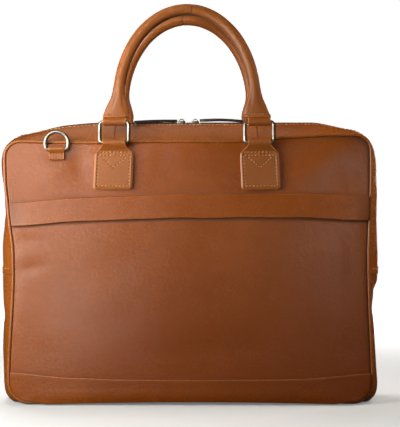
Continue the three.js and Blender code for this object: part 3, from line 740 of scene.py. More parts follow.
def rounded_edges(obj, width, segments=3, angle=40):
    bevel = obj.modifiers.new("rounded_edges", "BEVEL")
    bevel.width = width * MM
    bevel.segments = segments
    bevel.limit_method = "ANGLE"
    bevel.angle_limit = math.radians(angle)
    return obj


def dress(obj, material, body, slot, *nodes):
    """Gives a piece its material and the body that it rides on, and hides the solids that it stands for."""
    obj.data.materials.append(material)
    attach(obj, body)
    if nodes:
        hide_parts(*nodes)
    return obj


def straight(points):
    """Points of the front, as they are."""
    return points


def turned(points):
    """The same points on the back of the bag, half a turn about Z."""
    return points * np.array([-1, -1, 1])


# Materials

class Shader:
    """A node material that is built up socket by socket."""

    def __init__(self, name):
        self.material = bpy.data.materials.new(name)
        self.material.use_nodes = True
        self.tree = self.material.node_tree
        self.surface = self.tree.nodes["Principled BSDF"]
        self.place = self.node("TexCoord").outputs["Object"]

    def node(self, kind, values=None, **settings):
        made = self.tree.nodes.new("ShaderNode" + kind)
        for name, value in settings.items():
            setattr(made, name, value)
        for name, value in (values or {}).items():
            self.feed(made.inputs[name], value)
        return made

    def feed(self, socket, value):
        if isinstance(value, bpy.types.NodeSocket):
            self.tree.links.new(value, socket)
        else:
            socket.default_value = value

    def set(self, **values):
        for name, value in values.items():
            self.feed(self.surface.inputs[name.replace("_", " ")], value)

    def noise(self, scale, detail=3, rough=0.5, place=None):
        values = {"Vector": place or self.place, "Scale": scale, "Detail": detail, "Roughness": rough}
        return self.node("TexNoise", values).outputs["Fac"]

    def pebbles(self, scale):
        values = {"Vector": self.place, "Scale": scale}
        return self.node("TexVoronoi", values, feature="DISTANCE_TO_EDGE").outputs["Distance"]

    def wave(self, scale, distortion, direction):
        values = {"Vector": self.place, "Scale": scale, "Distortion": distortion}
        return self.node("TexWave", values, bands_direction=direction).outputs["Fac"]

    def math(self, operation, a, b):
        return self.node("Math", {0: a, 1: b}, operation=operation).outputs[0]

    def plus(self, a, b):
        return self.math("ADD", a, b)

    def times(self, a, b):
        return self.math("MULTIPLY", a, b)

    def span(self, value, low, high, to_low=0.0, to_high=1.0):
        values = {"Value": value, "From Min": low, "From Max": high, "To Min": to_low, "To Max": to_high}
        return self.node("MapRange", values, interpolation_type="SMOOTHSTEP").outputs["Result"]

    def mix(self, factor, a, b):
        return self.node("Mix", {0: factor, 6: a, 7: b}, data_type="RGBA").outputs[2]

    def mark(self, name):
        return self.node("Attribute", attribute_name=name).outputs["Fac"]

    def stretched(self, x, y, z):
        return self.node("Mapping", {"Vector": self.place, "Scale": (x, y, z)}).outputs["Vector"]

    def bump(self, height, distance, strength):
        values = {"Height": height, "Distance": distance, "Strength": strength}
        return self.node("Bump", values).outputs["Normal"]


def shade(r, g, b):
    """A linear colour from its 0 to 255 display values."""
    def linear(v):
        v /= 255
        return v / 12.92 if v < 0.04045 else ((v + 0.055) / 1.055) ** 2.4
    return linear(r), linear(g), linear(b), 1.0


def low_painted_shade(s, cloud):
    """How much painted shade lies on the leather: low down, and less towards the left."""
    place = s.node("SeparateXYZ", {"Vector": s.place}).outputs
    reach = s.times(s.span(place["Z"], *LOW_SHADE_UP), s.span(place["X"], *LOW_SHADE_ACROSS))
    return s.times(reach, s.span(cloud, 0.0, 1.0, 0.3, 0.45))


def leather(name):
    """Grained leather with cloudy dye, pebbles, painted shade and paler edges from wear and a painted
    highlight.
    """
    s = Shader(name)
    dye = DYES[name]
    deep = shade(*dye.deep)
    cloud = s.span(s.noise(16, 5, 0.55), 0.3, 0.7)
    drift = s.span(s.noise(5, 2), 0.35, 0.68)
    valley = s.span(s.pebbles(820), 0.0, 0.22)
    fleck = s.noise(420, 4, 0.65)
    wear_and_painted_light = s.times(s.mark("edge"), s.span(s.noise(140, 4), 0.25, 0.75, 0.45, 1.0))
    groove = s.mark("groove")
    dark = tuple(tint * part for tint, part in zip(LOW_SHADE_TINT, deep)) + (1.0,)
    base = s.mix(s.times(s.plus(cloud, drift), 0.5), deep, shade(*dye.light))
    base = s.mix(s.span(fleck, 0.3, 0.7, 0.0, 0.1), base, FLECK_COLOUR)
    base = s.mix(s.span(valley, 0.0, 1.0, 0.16 * dye.grain, 0.0), base, VALLEY_COLOUR)
    # Painted shade low on the bag and towards the right.
    base = s.mix(low_painted_shade(s, cloud), base, dark)
    # Paler edges from wear, and a painted highlight along the base strip's top edge.
    base = s.mix(wear_and_painted_light, base, shade(*dye.edge))
    # Painted shade wherever the groove mark lies.
    base = s.mix(s.times(groove, 0.8), base, PAINTED_SHADE_COLOUR)
    gloss = s.span(s.plus(fleck, s.times(cloud, 0.4)), 0.4, 1.0, *dye.rough)
    grain = s.plus(s.times(valley, 0.3 * dye.grain), s.times(s.noise(2600, 3), 0.12))
    soft = s.plus(s.times(s.noise(75, 4, 0.6), 1.6), s.times(s.noise(300, 2), 0.9 * dye.grain))
    s.set(Base_Color=base, Specular_IOR_Level=0.5, Specular_Tint=LEATHER_GLINT)
    s.set(Roughness=s.plus(gloss, s.times(groove, 0.5)), Normal=s.bump(s.plus(grain, soft), 0.00028, 0.5))
    return s.material


def nickel():
    """Satin nickel plate with fine brushing and dull spots."""
    s = Shader("nickel")
    brushed = s.noise(900, 4, 0.6, s.stretched(0.15, 1, 1))
    dull = s.noise(120, 4)
    s.set(Base_Color=s.mix(s.span(dull, 0.35, 0.7), shade(178, 170, 156), shade(146, 138, 125)))
    s.set(Metallic=1.0, Roughness=s.span(s.plus(brushed, dull), 0.7, 1.3, 0.34, 0.48))
    s.set(Normal=s.bump(brushed, 0.00004, 0.25))
    return s.material


def thread():
    """Waxed thread with its twist."""
    s = Shader("thread")
    s.set(Base_Color=s.mix(s.span(s.noise(300, 3), 0.3, 0.7), shade(218, 160, 100), shade(186, 124, 70)))
    s.set(Roughness=0.62, Normal=s.bump(s.wave(900.0, 1.5, "DIAGONAL"), 0.00008, 0.4))
    return s.material


def zip_cloth():
    """Woven zip tape."""
    s = Shader("zip_cloth")
    cross = s.times(s.wave(420.0, 0.6, "X"), s.wave(300.0, 0.4, "Y"))
    s.set(Base_Color=s.mix(cross, shade(30, 24, 21), shade(58, 47, 41)), Roughness=0.82)
    s.set(Normal=s.bump(cross, 0.0002, 0.6))
    return s.material


def zip_teeth():
    """Dark moulded coil with rubbed crests."""
    s = Shader("zip_teeth")
    rub = s.noise(600, 3)
    s.set(Base_Color=s.mix(s.span(rub, 0.4, 0.75), shade(92, 70, 55), shade(140, 112, 90)))
    s.set(Roughness=s.span(rub, 0.3, 0.8, 0.32, 0.5))
    return s.material


TAN, TAN_SIDE, TAN_ROLLED, DARK = (leather(name) for name in DYES)
NICKEL = nickel()
THREAD = thread()
ZIP_CLOTH = zip_cloth()
ZIP_TEETH = zip_teeth()


# Stitches

def ball(segments, rings):
    """A unit sphere's points and faces."""
    turn = circle(segments)
    fall = np.linspace(0, np.pi, rings + 1)[1:-1]
    body = np.stack([
        np.outer(np.cos(fall), np.ones(segments)),
        np.outer(np.sin(fall), np.cos(turn)),
        np.outer(np.sin(fall), np.sin(turn)),
    ], -1).reshape(-1, 3)
    points = np.vstack([body, [[1, 0, 0], [-1, 0, 0]]])
    index = np.arange(len(body)).reshape(rings - 1, segments)
    index = np.hstack([index, index[:, :1]])
    faces = grid_quads(index).tolist()
    faces += [[len(body), index[0, k + 1], index[0, k]] for k in range(segments)]
    faces += [[len(body) + 1, index[-1, k], index[-1, k + 1]] for k in range(segments)]
    return points, faces


def unit(vectors):
    return vectors / np.linalg.norm(vectors, axis=1, keepdims=True)


def beads(name, centres, along, up, sizes):
    """Many small rounded lengths in one mesh, each with its own direction and up."""
    bead, faces = ball(BEAD_SEGMENTS, BEAD_RINGS)
    along = unit(along)
    side = unit(np.cross(up, along))
    axes = (along, side, np.cross(along, side))
    points = centres[:, None]
    for k, (axis, size) in enumerate(zip(axes, sizes)):
        points = points + bead[None, :, k:k + 1] * axis[:, None] * size
    every = [[i * len(bead) + k for k in face] for i in range(len(centres)) for face in faces]
    return mesh_object(name, points.reshape(-1, 3), every)


def spaced_along(points, pitch):
    """Places at an even pitch along a line of points, with the line's direction at each."""
    run = travelled(np.linalg.norm(np.diff(points, axis=0), axis=1))
    count = max(round(run[-1] / pitch), 1)
    at = (np.arange(count) + 0.5) * run[-1] / count
    place, ahead, behind = (
        np.stack([np.interp(at + shift, run, points[:, k]) for k in range(3)], -1) for shift in (0, 0.3, -0.3)
    )
    return place, ahead - behind


def sewn(name, runs, body, kind):
    """Rows of stitches. Each run is a line of points and the direction that faces out of the leather."""
    stitch = STITCHES[kind]
    rows = []
    for points, up in runs:
        place, along = spaced_along(np.asarray(points, float), stitch.pitch)
        up = np.broadcast_to(np.asarray(up, float), place.shape)
        along = unit(along)
        rows.append((place, along + STITCH_LEAN * np.cross(up, along), up))
    stacked = (np.concatenate(part) for part in zip(*rows))
    return dress(beads(name, *stacked, stitch[1:]), THREAD, body, "tan_leather")


# Faces of the bag

def face_rows(steps):
    foot = BASE_CORNER - PANEL_INSET
    head = TOP_CORNER - PANEL_INSET
    low = SEAM_FOOT + PANEL_INSET + foot
    high = SEAM_TOP - PANEL_INSET - head
    turn = np.linspace(0, np.pi / 2, CORNER_STEPS)
    between = np.linspace(low, high, steps)[1:-1]
    return np.concatenate([low - foot * np.cos(turn), between, high + head * np.sin(turn)])


def crowded(count):
    """Shares from -1 to 1 that lie closer together towards both ends."""
    return np.sin(np.linspace(-1, 1, count) * np.pi / 2 * CROWDING)[None] / math.sin(np.pi / 2 * CROWDING)


def face_wall(name, side, x, z, outer, inner, marks):
    """A wall of the front (-1) or back (+1), from its distances out at each point."""
    return wall(name, *(face_points(x, side * out, z) for out in (outer, inner)), marks)


def seam_shade(x):
    """How much painted shade lies in the groove beside the piping, most of all on the right."""
    return lerp(*SEAM_SHADES, smooth(x, *SHADE_REACH))


def face_panel(name, side, surface, dents, uneven, line_shade=0.0):
    """The front (-1) or back (+1) face, with painted shade up to just above the band's line."""
    rows, columns = PANEL_GRID
    share = crowded(columns)
    z = face_rows(rows)[:, None]
    x = share * face_half_width(z)
    z = np.broadcast_to(z, x.shape)
    inside = face_fullness(x, z)
    gathers = ripple(x, 0.2 * z, uneven.seed + GATHER_SEED, GATHER_SIZE, GATHER_HEIGHT)
    relief = dented(x, z, dents) + ripple(x, z, *uneven) + gathers * smooth(z, *GATHER_REACH) + PANEL_SLACK
    out = surface(x, z) - relief * np.minimum(inside * 2, 1)
    seam = 1 - smooth(inside, 0.0, 0.1)
    # Painted shade in the groove beside the piping, and a painted shadow just above the band's sewn line.
    above = 1 - smooth(z - front_line("band_top", share * SEAM_HALF_WIDTH), 0.5, 3)
    marks = {"groove": np.maximum(seam * seam_shade(x), line_shade * above), "edge": 0 * seam}
    return face_wall(name, side, x, z + foot_lift(x, z), out, out - LEATHER, marks)


def pocket_panel():
    rows, columns = POCKET_GRID
    share = crowded(columns)
    place = share * SEAM_HALF_WIDTH
    z = lerp(POCKET_FOOT, pocket_mouth(place), np.linspace(0, 1, rows)[:, None])
    x = share * face_half_width(z)
    away = 1 - (np.abs(x) / face_half_width(z)) ** 10
    relief = dented(x, z, POCKET_DENTS) + ripple(x, z, *POCKET_UNEVEN) + POCKET_SLACK
    out = pocket_face(x, z) - relief * away * smooth(z, *POCKET_EASE)
    # Painted shade in the piping's groove, the band's painted shadow under its lower edge, and painted shade
    # just above the base strip.
    mouth = smooth(z - front_line("band_foot", place), -4, -1.5)
    foot = 1 - smooth(z - front_line("strip_top", place), 0.5, 3.5)
    groove = (1 - smooth(away, 0, 0.2)) * seam_shade(x) + MOUTH_SHADE * mouth + STRIP_SHADE * foot
    marks = {"groove": groove, "edge": 0 * x}
    return face_wall("pocket_panel_leather", -1, x, z, out, out - POCKET_LEATHER, marks)


def pocket_band():
    rows, columns = BAND_GRID
    share = np.linspace(-1, 1, columns)[None]
    down = np.linspace(0, 1, rows)[:, None]
    place = share * SEAM_HALF_WIDTH
    head = front_line("band_top", place)
    foot = front_line("band_foot", place)
    z = lerp(head, foot, down) + ripple(place, 0 * place, *BAND_EDGE_UNEVEN) * down ** 2
    x = share * face_half_width(z)
    sewn_on = front_face(share * face_half_width(head), head) + GAP
    hanging = pocket_face(share * face_half_width(foot), foot) + BAND_CLEARANCE
    loose = (BAND_SLACK + ripple(x, z, *BAND_UNEVEN)) * (1 - np.abs(share) ** 8)
    inner = lerp(sewn_on, hanging + loose, down)
    edge = np.maximum(1 - (1 - down) / BAND_EDGE, 1 - down / BAND_EDGE).clip(0, 1) * np.ones_like(x)
    # Paler worn edges top and bottom, and painted shade at the band's ends.
    marks = {"edge": edge * BAND_WEAR, "groove": BAND_END_SHADE * smooth(np.abs(share), 0.9, 1) + 0 * x}
    return face_wall("pocket_band_leather", -1, x, z, inner + BAND_LEATHER, inner, marks)


def base_strip():
    corner = BASE_CORNER - PANEL_INSET
    reach = SEAM_HALF_WIDTH - PANEL_INSET
    rows, columns = STRIP_GRID
    turn = reach - corner + corner * np.sin(np.linspace(0, np.pi / 2, CORNER_STEPS))
    right = np.concatenate([np.linspace(0, reach - corner, columns)[1:], turn[1:]])
    x = np.concatenate([-right[::-1], [0], right])[:, None]
    into = np.maximum(np.abs(x) - (reach - corner), 0)
    lip = 1 - smooth(np.abs(x), STRIP_LIP_END, reach - corner)
    clear = 1 - smooth(np.abs(x), reach - corner, reach)
    outline = SEAM_FOOT + PANEL_INSET + corner - np.sqrt(np.maximum(corner ** 2 - into ** 2, 0))
    foot = lerp(outline, STRIP_LIP, lip) + foot_lift(x)
    up = np.linspace(0, 1, rows)[None]
    z = lerp(foot, front_line("strip_top", x), up)
    x = np.broadcast_to(x, z.shape)
    low = half_depth(z) + lerp(POCKET_PROUD + GAP, PIPING_RADIUS + 2 * GAP, clear)
    lapped = pocket_face(x, np.maximum(z, POCKET_FOOT)) + 2 * GAP
    rounding = 1 - (1 - np.clip((z - foot) / STRIP_ROUND, 0, 1)) ** 3
    inner = lerp(low, lapped, rounding)
    # Paler top edge from wear and a painted highlight, with a thin line of painted shade under it.
    edge = STRIP_WEAR_AND_HIGHLIGHT * (1 - (1 - up) / STRIP_EDGE).clip(0, 1) * np.ones_like(z)
    groove = bell(up - STRIP_LINE, STRIP_LINE_WIDTH) * STRIP_LINE_SHADE * np.ones_like(z)
    marks = {"edge": edge, "groove": groove}
    return face_wall("base_strip_leather", -1, x, z, inner + LEATHER, inner, marks)


# Gussets, zip and piping

def hem(line):
    """The folded hem at each end of an upper gusset, as a rise along the stations."""
    end = np.minimum(line["run"], line["run"][-1] - line["run"])
    return 1 - smooth(end, HEM_WIDTH - HEM_EDGE, HEM_WIDTH)


def lap_seam(line, places):
    """Lapped seams across the top strip: their step and their dark groove along the stations."""
    step = np.zeros_like(line["x"])
    groove = np.zeros_like(line["x"])
    for place in places:
        past = line["x"] - place
        step += smooth(past, -LAP_RAMP, 0) * (1 - smooth(past, 0, LAP_WIDTH))
        groove += bell(past + LAP_GROOVE_ASIDE, LAP_GROOVE_WIDTH)
    top = line["nz"] > TOP_FACING
    return step * top, groove * top


def upper_gusset(name, side, places):
    line = seam_line(True, UPPER_SPACING, places)
    share = np.linspace(0, 1, UPPER_COLUMNS)[None]
    y = side * lerp(ZIP_SLOT, gusset_half(line)[:, None], share)
    step, groove = lap_seam(line, places)
    uneven = UPPER_UNEVEN._replace(seed=UPPER_UNEVEN.seed + side)
    out = gusset_out(line, y) - creased(line, y, UPPER_CREASES)
    out = out + ripple(line["run"][:, None] + 0 * y, y, *uneven) * np.sin(np.pi * share)
    beyond = smooth(np.abs(y), ZIP_STITCH - 1, ZIP_STITCH + 1) * (1 - share ** 8)
    lap = LAP_RISE * step - LAP_GROOVE_DEPTH * groove
    out = out + HEM_RISE * hem(line)[:, None] + lap[:, None] * beyond
    fold = 1 - smooth(np.abs(y) - ZIP_SLOT, 0, ZIP_FOLD_WIDTH)
    sewn_line = bell(np.abs(y) - ZIP_STITCH, ZIP_GROOVE_WIDTH)
    outer = gusset_points(line, y, out - ZIP_FOLD_DROP * fold - ZIP_GROOVE_DEPTH * sewn_line)
    inner = gusset_points(line, y, gusset_out(line, y) - LEATHER)
    # Painted shade in the lapped seams' grooves, along the seam to the face and in the zip's stitch groove;
    # the zip's fold is paler from wear.
    dark = LAP_SHADE * groove[:, None] * beyond + GUSSET_SHADE * smooth(share, 0.93, 1.0)
    marks = {"groove": dark + ZIP_GROOVE_SHADE * sewn_line, "edge": ZIP_FOLD_WEAR * fold}
    return wall(name, outer, inner, marks)


def lower_gusset():
    line = seam_line(False, LOWER_SPACING)
    y = np.linspace(-1, 1, LOWER_COLUMNS)[None] * gusset_half(line)[:, None]
    share = gusset_share(line, y)
    side = 1 - np.abs(line["nz"])[:, None]
    out = gusset_out(line, y) - creased(line, y, LOWER_CREASES)
    out = out + ripple(line["run"][:, None] + 0 * y, y, *LOWER_UNEVEN) * side * (1 - share ** 4)
    outer = gusset_points(line, y, out)
    outer[..., 2] = np.maximum(outer[..., 2], 0)
    inner = gusset_points(line, y, gusset_out(line, y) - LEATHER)
    scuff = (1 - side) * smooth(share, 0.4, 0.9) * SCUFF
    # Painted shade along the seams to the faces; the scuff under the base is wear.
    marks = {"groove": GUSSET_SHADE * smooth(share, 0.95, 1.0), "edge": scuff}
    return wall("lower_gusset_leather", outer, inner, marks)


def zip_tape():
    line = seam_line(True, ZIP_SPACING)
    y = np.linspace(-ZIP_TAPE, ZIP_TAPE, TAPE_COLUMNS)[None] + 0 * line["x"][:, None]
    top = gusset_out(line, np.maximum(np.abs(y), ZIP_SLOT)) - LEATHER - 2 * GAP
    return wall("zip_tape", *(gusset_points(line, y, top - drop) for drop in (0, ZIP_TAPE_THICKNESS)))


def zip_coil():
    """Two rows of teeth that mesh along the middle of the tape."""
    line = seam_line(True, ZIP_SPACING)
    middle = 0 * line["x"][:, None]
    crest = gusset_out(line, middle) + ZIP_COIL_RISE - TOOTH_HEIGHT
    centres, along = spaced_along(gusset_points(line, middle, crest)[:, 0], TOOTH_PITCH / 2)
    clear = np.all([np.abs(centres[:, 0] - spot) > SLIDER_CLEAR for spot in SLIDER_PLACES.values()], axis=0)
    centres = centres[clear]
    side = np.where(np.arange(len(centres)) % 2, 1.0, -1.0)
    across = np.tile([[0.0, 1.0, 0.0]], (len(centres), 1))
    up = np.cross(along[clear], across)
    up[up[:, 2] < 0] *= -1
    centres = centres + across * (side * TOOTH_ASIDE)[:, None]
    return beads("zip_coil", centres, across, up, (*TOOTH_HALF, TOOTH_HEIGHT))


def piping(name, side):
    upper = seam_line(True, PIPING_SPACING)
    lower = seam_line(False, PIPING_SPACING)
    line = {key: np.concatenate([upper[key], lower[key]]) for key in ("x", "z", "nx", "nz")}
    turn = circle(PIPING_SIDES)[None]
    station = np.arange(len(line["x"]))[:, None]
    swell = PIPING_ROUND + ripple(station / 3.0, 0.0 * station, *PIPING_UNEVEN)
    y = side * (half_depth(line["z"])[:, None] - PIPING_BACK) + swell * np.sin(turn)
    sections = gusset_points(line, y, swell * np.cos(turn))
    # Painted shade on the piping's side towards the gusset; paler wear on its outer side.
    marks = {
        "groove": smooth(-side * np.sin(turn), 0.2, 1.0) * PIPING_SHADE + 0 * y,
        "edge": PIPING_WEAR * smooth(side * np.sin(turn), 0.5, 1) + 0 * y,
    }
    return tube(name, sections, True, marks)


def zip_stitches():
    """A row of stitches over the top, on either side of the zip."""
    line = seam_line(True, ZIP_SPACING)
    facing_up = line["nz"] > STITCH_LEVEL
    runs = []
    for side in (-1, 1):
        y = 0 * line["x"][:, None] + side * ZIP_STITCH
        points = gusset_points(line, y, gusset_out(line, y))[:, 0]
        runs.append((points[facing_up], np.array([0, side * 0.45, 1.0])))
    return runs


def hem_stitches():
    """A row of stitches along each hem, where the upper gusset laps the lower one."""
    line = seam_line(True, HEM_SPACING)
    runs = []
    for row in (HEM_STITCH_ROW, len(line["x"]) - 1 - HEM_STITCH_ROW):
        part = {key: values[row:row + 1] for key, values in line.items()}
        for side in (-1, 1):
            ends = (ZIP_SLOT + HEM_STITCH_INSET, gusset_half(part)[0] - HEM_STITCH_INSET)
            y = side * np.linspace(*ends, STITCH_LINE_POINTS)[None]
            points = gusset_points(part, y, gusset_out(part, y) + HEM_RISE + HEM_STITCH_RISE)[0]
            runs.append((points, (line["nx"][row], 0, 0)))
    return runs


# Chapes, tabs and loops: strips of leather folded in half round a bar

def level(value):
    """A measure that is the same at every height."""
    def at(up):
        return value + 0 * up
    return at


def fold_line(front, back, axis_out, axis_up, foot, spring, radius, step):
    """Middle of a folded strip from its front foot over the bar to its back foot, as out and up."""
    climb = np.linspace(foot, spring, max(round((spring - foot) / step), 2))
    down = np.linspace(spring, foot, FOLD_DOWN_STEPS)
    blend = np.linspace(0, 1, FOLD_BLEND_STEPS)[1:-1]
    turn = np.linspace(0, np.pi, FOLD_TURN_STEPS)
    reach = lerp(spring, axis_up, blend)
    out = np.concatenate([
        front(climb), lerp(front(reach), axis_out + radius, smooth(blend)),
        axis_out + radius * np.cos(turn),
        lerp(back(reach), axis_out - radius, smooth(blend))[::-1], back(down),
    ])
    up = np.concatenate([climb, reach, axis_up + radius * np.sin(turn), reach[::-1], down])
    d_out = np.gradient(out)
    d_up = np.gradient(up)
    size = np.hypot(d_out, d_up)
    return Fold(out, up, d_up / size, -d_out / size, len(climb))


def fold_grids(place, half_at, layer, columns, relief, line_at):
    """Outer and inner grids of a folded strip, whose middle line may differ at each share of its width."""
    outer = []
    inner = []
    for share in np.linspace(-1, 1, columns):
        fold = line_at(share)
        x = place + share * half_at(fold.up)
        front = np.arange(len(fold.up)) < fold.climb
        rise = layer / 2 + np.where(front, relief(x - place, fold.up), 0)
        for grid, shift in ((outer, rise), (inner, -layer / 2)):
            grid.append(np.stack([x, -(fold.out + fold.n_out * shift), fold.up + fold.n_up * shift], -1))
    return np.stack(outer, 1), np.stack(inner, 1)


def sewn_rows(x, up, rows, pitch):
    """How near each point is to a table's straight rows of stitches, and to the holes between them."""
    groove = np.zeros(np.shape(x))
    hole = np.zeros(np.shape(x))
    for x0, u0, x1, u1 in zip(*rows.values()):
        length = math.hypot(x1 - x0, u1 - u0)
        step = length / max(round(length / pitch), 1)
        along = ((x - x0) * (x1 - x0) + (up - u0) * (u1 - u0)) / length
        aside = ((x - x0) * (u1 - u0) - (up - u0) * (x1 - x0)) / length
        beyond = np.maximum(np.maximum(-along, along - length), 0)
        spot = np.clip(np.round(along / step), 0, round(length / step)) * step
        groove = np.maximum(groove, np.exp(-(aside ** 2 + beyond ** 2) / GROOVE_WIDTH ** 2))
        hole = np.maximum(hole, np.exp(-(aside ** 2 + (along - spot) ** 2) / HOLE_WIDTH ** 2))
    return groove, hole


def strip_half(strip, up):
    """Half the width of a folded strip at a height, round the corners of its foot."""
    into = np.clip(strip.foot + strip.corner - up, 0, strip.corner)
    return read(strip.outline, "up", "half", up) - strip.corner + np.sqrt(strip.corner ** 2 - into ** 2)


def strip_line(strip, place, share):
    """Middle line of a folded strip that lies on the face, at a share of its width."""
    def layers_out(layers, lift):
        def out(up):
            face = plain_face(place + share * strip_half(strip, up), np.minimum(up, HELD_TOP))
            return face + GAP + layers * strip.layer + lift
        return out

    bar = (strip.axis_out, strip.axis_up)
    radius = LOOP_BORE + strip.layer / 2
    front = layers_out(1.5, strip.lift)
    return fold_line(front, layers_out(0.5, 0), *bar, strip.foot, strip.spring, radius, strip.step)


def strip_marks(strip, x, up):
    """Inset from a strip's cut edges, and the grooves and holes of its stitches."""
    inset = np.minimum(strip_half(strip, up) - np.abs(x), up - strip.foot)
    return inset, *sewn_rows(x, up - strip.foot, strip.rows, STITCHES[strip.stitch].pitch)


def strip_relief(strip, x, up):
    """A rounded rim and a recessed middle where the strip has them, and grooves with holes for stitches."""
    inset, groove, hole = strip_marks(strip, x, up)
    rim = RIM_RISE * smooth(inset, 0.8, 2.2) * (1 - smooth(inset, 2.4, 3.8))
    rim = rim - RIM_FALL * (1 - smooth(inset, 0, 1.5)) - RIM_SINK * smooth(inset, 3.4, 6)
    return strip.rim * rim - GROOVE_DEPTH * groove - HOLE_DEPTH * hole


def splayed(points, lean):
    """The foot of a chape stands a little aside of its ring."""
    aside = lean * smooth(HELD_TOP - points[..., 2], 0, HELD_TOP - CHAPE.foot)
    return points + aside[..., None] * np.array([1.0, 0, 0])


def folded_strip(name, strip, place, lean, turn):
    """A chape or a strap tab, with painted shade in its stitch grooves and holes, and pale cut edges."""
    line_at = partial(strip_line, strip, place)
    forms = (partial(strip_half, strip), strip.layer, strip.columns, partial(strip_relief, strip))
    outer, inner = fold_grids(place, *forms, line_at)
    front = np.arange(len(outer))[:, None] < line_at(0).climb
    inset, groove, hole = strip_marks(strip, outer[..., 0] - place, outer[..., 2])
    marks = {
        "groove": (GROOVE_SHADE * groove + strip.hole_shade * hole) * front,
        "edge": strip.edge_shade * (1 - smooth(inset, *strip.edge_reach)),
    }
    grids = (turn(splayed(part, lean)) for part in (outer, inner))
    return rounded_edges(wall(name, *grids, marks), *strip.rounding)


def strip_stitches(strip, place, lean, turn):
    runs = []
    for x0, u0, x1, u1 in zip(*strip.rows.values()):
        x = place + np.linspace(x0, x1, strip.points)
        up = strip.foot + np.linspace(u0, u1, strip.points)
        out = plain_face(x, np.minimum(up, HELD_TOP)) + GAP + 2 * strip.layer - strip.sink
        points = turn(splayed(np.stack([x, -out, up], -1), lean))
        runs.append((points, turn(np.array([0.0, -1, 0]))))
    return runs


# Handles and rings, made at the hinge and then hung from it

def hung(points, place, turn):
    """Points of a handle or its rings, from the hinge's own axes to the bag's."""
    x, y, z = np.moveaxis(points, -1, 0)
    c = math.cos(HANDLE_LEAN)
    s = math.sin(HANDLE_LEAN)
    return turn(np.stack([x + place, y * c + z * s - RING_AXIS_OUT, z * c - y * s + RING_AXIS_UP], -1))


def hung_direction(direction, turn):
    return hung(np.asarray(direction, float), 0, turn) - hung(np.zeros(3), 0, turn)


def handle_spread(up, top):
    leg = np.clip((up - RING_HEIGHT) / (ARCH_SPRING - RING_HEIGHT), 0, 1)
    arch = np.clip((up - ARCH_SPRING) / (top - ARCH_SPRING), 0, 1)
    return lerp(RING_SPREAD, ARCH_HALF_WIDTH, np.sin(leg * np.pi / 2)) * np.sqrt(1 - arch ** 2)


def handle_line(top):
    """Middle line of a handle, left to right: across, up and distance from the nearer ring bar."""
    legs = np.arange(FLARE_FOOT, FLARE_END, FLARE_STEP)
    rise = top - ARCH_SPRING
    start = math.asin((RING_HEIGHT + legs[-1] + 1 - ARCH_SPRING) / rise)
    arch = ARCH_SPRING + rise * np.sin(np.linspace(start, np.pi / 2, ARCH_STEPS + 1)[:-1])
    up = np.concatenate([RING_HEIGHT + legs, arch])
    x = -handle_spread(up, top)
    along = np.concatenate([legs, np.full(ARCH_STEPS, ARCH_ALONG)])
    return (
        np.concatenate([x, [0], -x[::-1]]),
        np.concatenate([up, [top], up[::-1]]),
        np.concatenate([along, [ARCH_ALONG], along[::-1]]),
    )


def handle_across(x, up, along):
    """Direction across a handle at each station: level at its flared ends, square to it on the arch."""
    dx = np.gradient(x)
    du = np.gradient(up)
    size = np.hypot(dx, du)
    arched = smooth(along, 8, 32)
    return lerp(np.sign(du), du / size, arched), lerp(0, -dx / size, arched)


def handle_folds(x, up, along, top, turn):
    """Where the folds and seams of a handle are: pleats, the join, the seam inside, the lip, the stitches."""
    inner = np.minimum(turn, 2 * np.pi - turn)
    across = np.abs(np.cos(turn))
    return {
        "pleat": bell(along - 24, 11) * bell(across - 0.45, 0.16),
        "join": bell(x - HANDLE_SEAM, 0.7) * (up > top - 3),
        "under": bell(inner, 0.09) * smooth(along, 30, 50),
        "lip": bell(along - FLARE_FOOT - 1.2, 1.3),
        "row": bell(along - FLARE_STITCH, 0.7) * (across < 0.93),
    }


def handle_shade(face, x, along, turn):
    """Painted shade inside the front arch, and painted shadow where the back handle lies behind the front
    one.
    """
    inner = np.minimum(turn, 2 * np.pi - turn)
    wear_and_painted_light = INNER_SHADE[face] * smooth(along, 26, 70) * (1 - 0.4 * smooth(x, -30, 60))
    if face == "back":
        return wear_and_painted_light * smooth(inner, 1.0, 1.9) * smooth(-np.sin(turn), -0.2, 0.5)
    return wear_and_painted_light * np.exp(-(inner / 0.75) ** 4)


def rounded_square(value, square):
    return np.sign(value) * np.abs(value) ** (2 / square)


def rolled_handle(face):
    """Sections of the rolled part of a handle, with its flared ends, folds and seams."""
    top = ARCH_TOP - ARCH_DROP[face]
    x, up, along = handle_line(top)
    n_x, n_up = handle_across(x, up, along)
    run = travelled(np.hypot(np.diff(x), np.diff(up)))
    x, up, along, n_x, n_up, run = (part[:, None] for part in (x, up, along, n_x, n_up, run))
    turn = circle(HANDLE_SIDES)[None]
    columns = ("width", "thickness", "square")
    width, thick, square = (read(HANDLE_SECTIONS, "along", column, along) for column in columns)
    folds = handle_folds(x, up, along, top, turn)
    relief = ripple(run / 9 + 0 * turn, turn * 1.4 + 0 * run, *HANDLE_UNEVEN)
    relief = relief + sum(HANDLE_RELIEF[key] * fold for key, fold in folds.items())
    scale = 1 + relief / thick
    across = width * rounded_square(np.cos(turn), square) * scale
    deep = thick * rounded_square(np.sin(turn), square) * scale
    sections = np.stack([x + n_x * across, deep, up + n_up * across], -1)
    # Painted shade in the folds, seams and stitch row, with the painted shade and shadow of handle_shade.
    groove = sum(HANDLE_SHADES[key] * fold for key, fold in folds.items())
    groove = np.maximum(groove, handle_shade(face, x, along, turn)).clip(0, 1)
    return sections, {"groove": groove, "edge": bell(along - FLARE_FOOT, 1.0) * 0.8 + 0 * turn}


